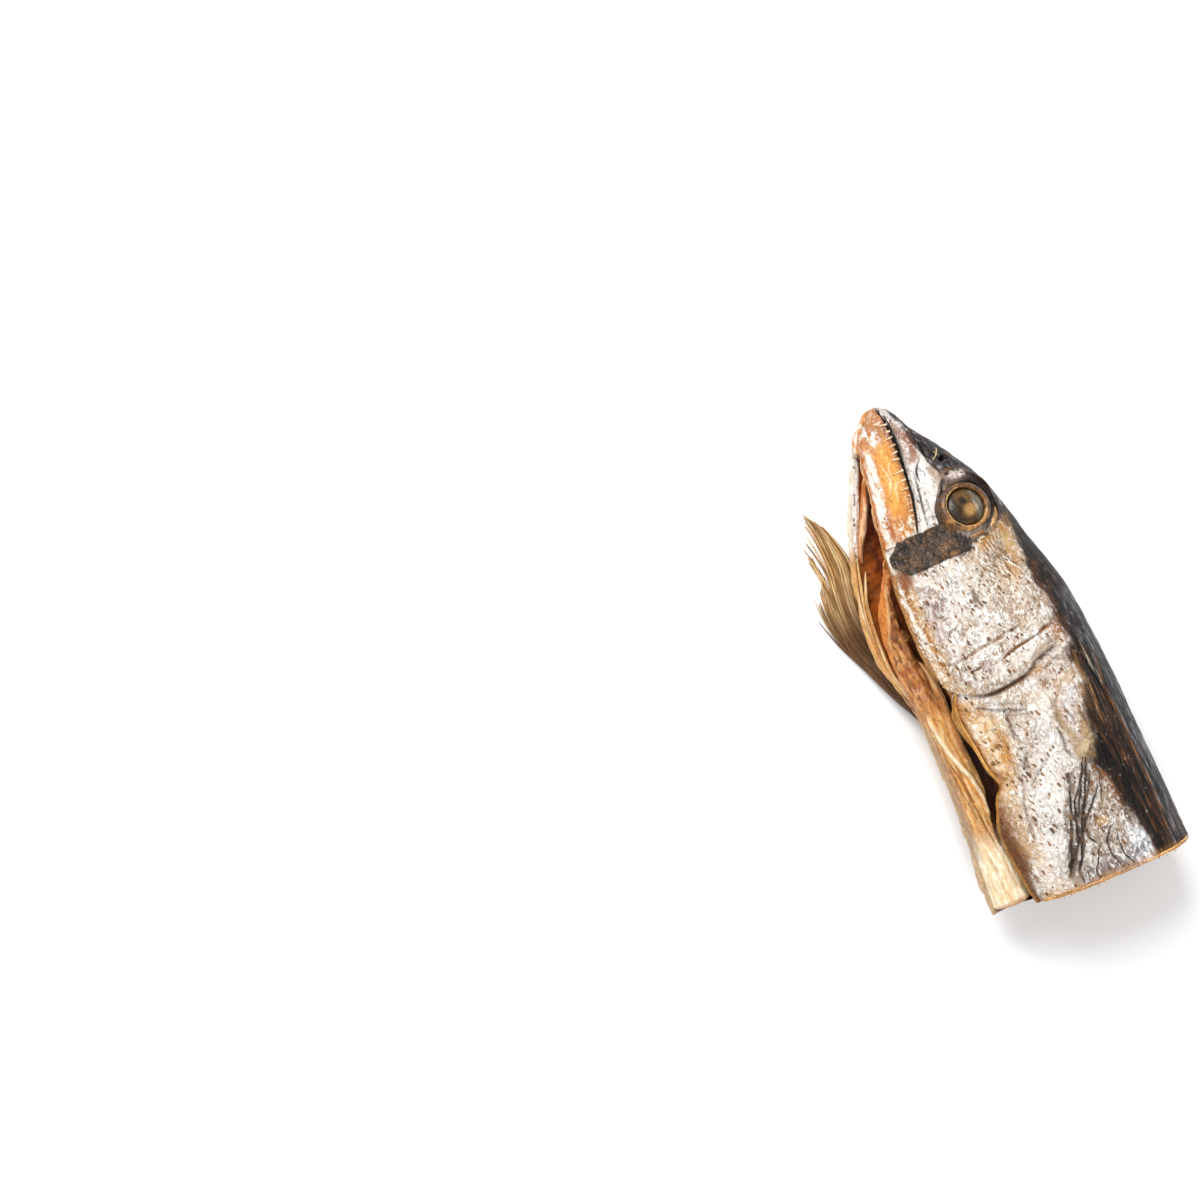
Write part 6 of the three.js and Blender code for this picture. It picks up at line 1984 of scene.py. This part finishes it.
def make_fibres():
    """Loose straw-like fibres on the snout and at the cut."""
    lines, thick, coats = [], [], []

    def fibre(points, side, radius, colour, stand=0.3):
        line = sweep(points, 5)
        station, height, offset = under_sight(line[:, 0], line[:, 1], side)
        lines.append(joined(station, height, side * (offset + stand)))
        thick.append(radius * (1 - 0.5 * np.linspace(0, 1, len(line)) ** 2))
        coats.append(np.tile(linear(colour), (len(line), 1)))

    fibre([(101.2, 6.8), (100.4, 6.5), (99.7, 5.9), (99.2, 5.1)], UPPER, 0.14, "#cdb27c")
    fibre([(100.9, 6), (100.3, 6.2), (99.6, 6.6)], UPPER, 0.1, "#b4935c")
    for number in range(18):
        height, lean = 19 - 32 * chance.random(), chance.normal() * 0.7
        station = np.array([0.5, -0.1, -0.5 - 0.6 * chance.random()])
        across = height + lean * np.array([0, 0.3, 1])
        lines.append(joined(station, across, flank_offset(0, across, UPPER) - 0.1))
        thick.append(np.array([0.11, 0.09, 0.04]))
        coats.append(np.tile(linear(("#b98a4e", "#8c6134", "#d3ab73")[number % 3]), (3, 1)))
    make_rods("loose_fibres", lines, thick, coats, FIN, 6)


def make_folded_fin():
    """The rays of the upper flank's fin, dried dark into the shoulder."""
    lines, thick, coats = [], [], []
    for number, (points, dark, width) in enumerate(FIN_FOLDS):
        u, v = sweep(points, 7).T
        places = joined(u, v, 3 * number)
        u, v = u + 0.3 * rough(places, 2.6, 441, 3), v + 0.35 * rough(places, 2.2, 445, 3)
        station, height, offset = under_sight(u, v, UPPER)
        along = np.linspace(0, 1, len(u))
        radius = (
            (0.1 + 0.4 * width) * (0.35 + 0.65 * np.sin(math.pi * np.clip(along, 0.03, 0.97)) ** 0.6)
            * (1 + 0.5 * rough(places, 1.3, 449, 2))
        )
        offset = (
            offset + skin_relief(u, v, offset, UPPER) + 0.05 + 0.18 * rough(places, 3, 453, 2)
            - 0.15 * (1 - dark)
        )
        lines.append(joined(station, height, offset))
        thick.append(radius)
        tone = rough(places, 1.8, 457, 3)[:, None]
        coats.append(
            np.clip(linear("#2a1b10") + (linear("#6b4a2e") - linear("#2a1b10")) * smooth(tone, 0.0, 0.5), 0,
                1)
        )
    make_rods("folded_fin_rays", lines, thick, coats, HORN, 8)


make_fin()
make_teeth()
make_fibres()
make_folded_fin()


# --- Floor, light and camera


def make_floor():
    mesh = bpy.data.meshes.new("floor")
    corners = [(x * FLOOR_REACH, y * FLOOR_REACH, 0) for x, y in ((-1, -1), (1, -1), (1, 1), (-1, 1))]
    mesh.from_pydata(corners, [], [(0, 1, 2, 3)])
    mesh.materials.append(Finish("pale_floor", roughness=0.9, base_color="#fbfbfb").material)
    floor = add_object("floor", mesh)


def soft_light(name, place, size, power):
    """A large square light that faces the fish."""
    data = bpy.data.lights.new(name, "AREA")
    data.size, data.energy = size, power
    light = add_object(name, data)
    light.location = place
    light.rotation_euler = Vector(place).to_track_quat("Z", "Y").to_euler()


# The picture's own directions on the floor.
RIGHT, UP = Vector((0.4064, 0.9137, 0)), Vector((-0.9137, 0.4064, 0))
FLOOR_REACH = 6


def make_light_and_camera():
    world = bpy.data.worlds.new("studio")
    world.use_nodes = True
    background = world.node_tree.nodes["Background"]
    background.inputs["Color"].default_value = (*linear("#ffffff"), 1)
    background.inputs["Strength"].default_value = 0.6
    bpy.context.scene.world = world
    bpy.context.scene.view_settings.view_transform = "Standard"
    soft_light("key", (-0.32 * RIGHT + 0.58 * UP) + Vector((0, 0, 0.62)), 0.5, 9.2)
    soft_light("fill", (0.2 * RIGHT - 0.6 * UP) + Vector((0, 0, 0.7)), 0.8, 2.6)

    data = bpy.data.cameras.new("camera")
    data.sensor_width = 36
    data.lens = data.sensor_width * VIEW_DISTANCE / FRAME_WIDTH
    data.clip_start = 0.01
    camera = add_object("camera", data)
    turn = Matrix((RIGHT, UP, (0, 0, 1))).transposed()
    camera.matrix_world = (
        Matrix.Translation(Vector(to_row(VIEW_STATION, VIEW_HEIGHT, VIEW_DISTANCE))) @ turn.to_4x4()
    )
    bpy.context.scene.camera = camera


make_floor()
make_light_and_camera()
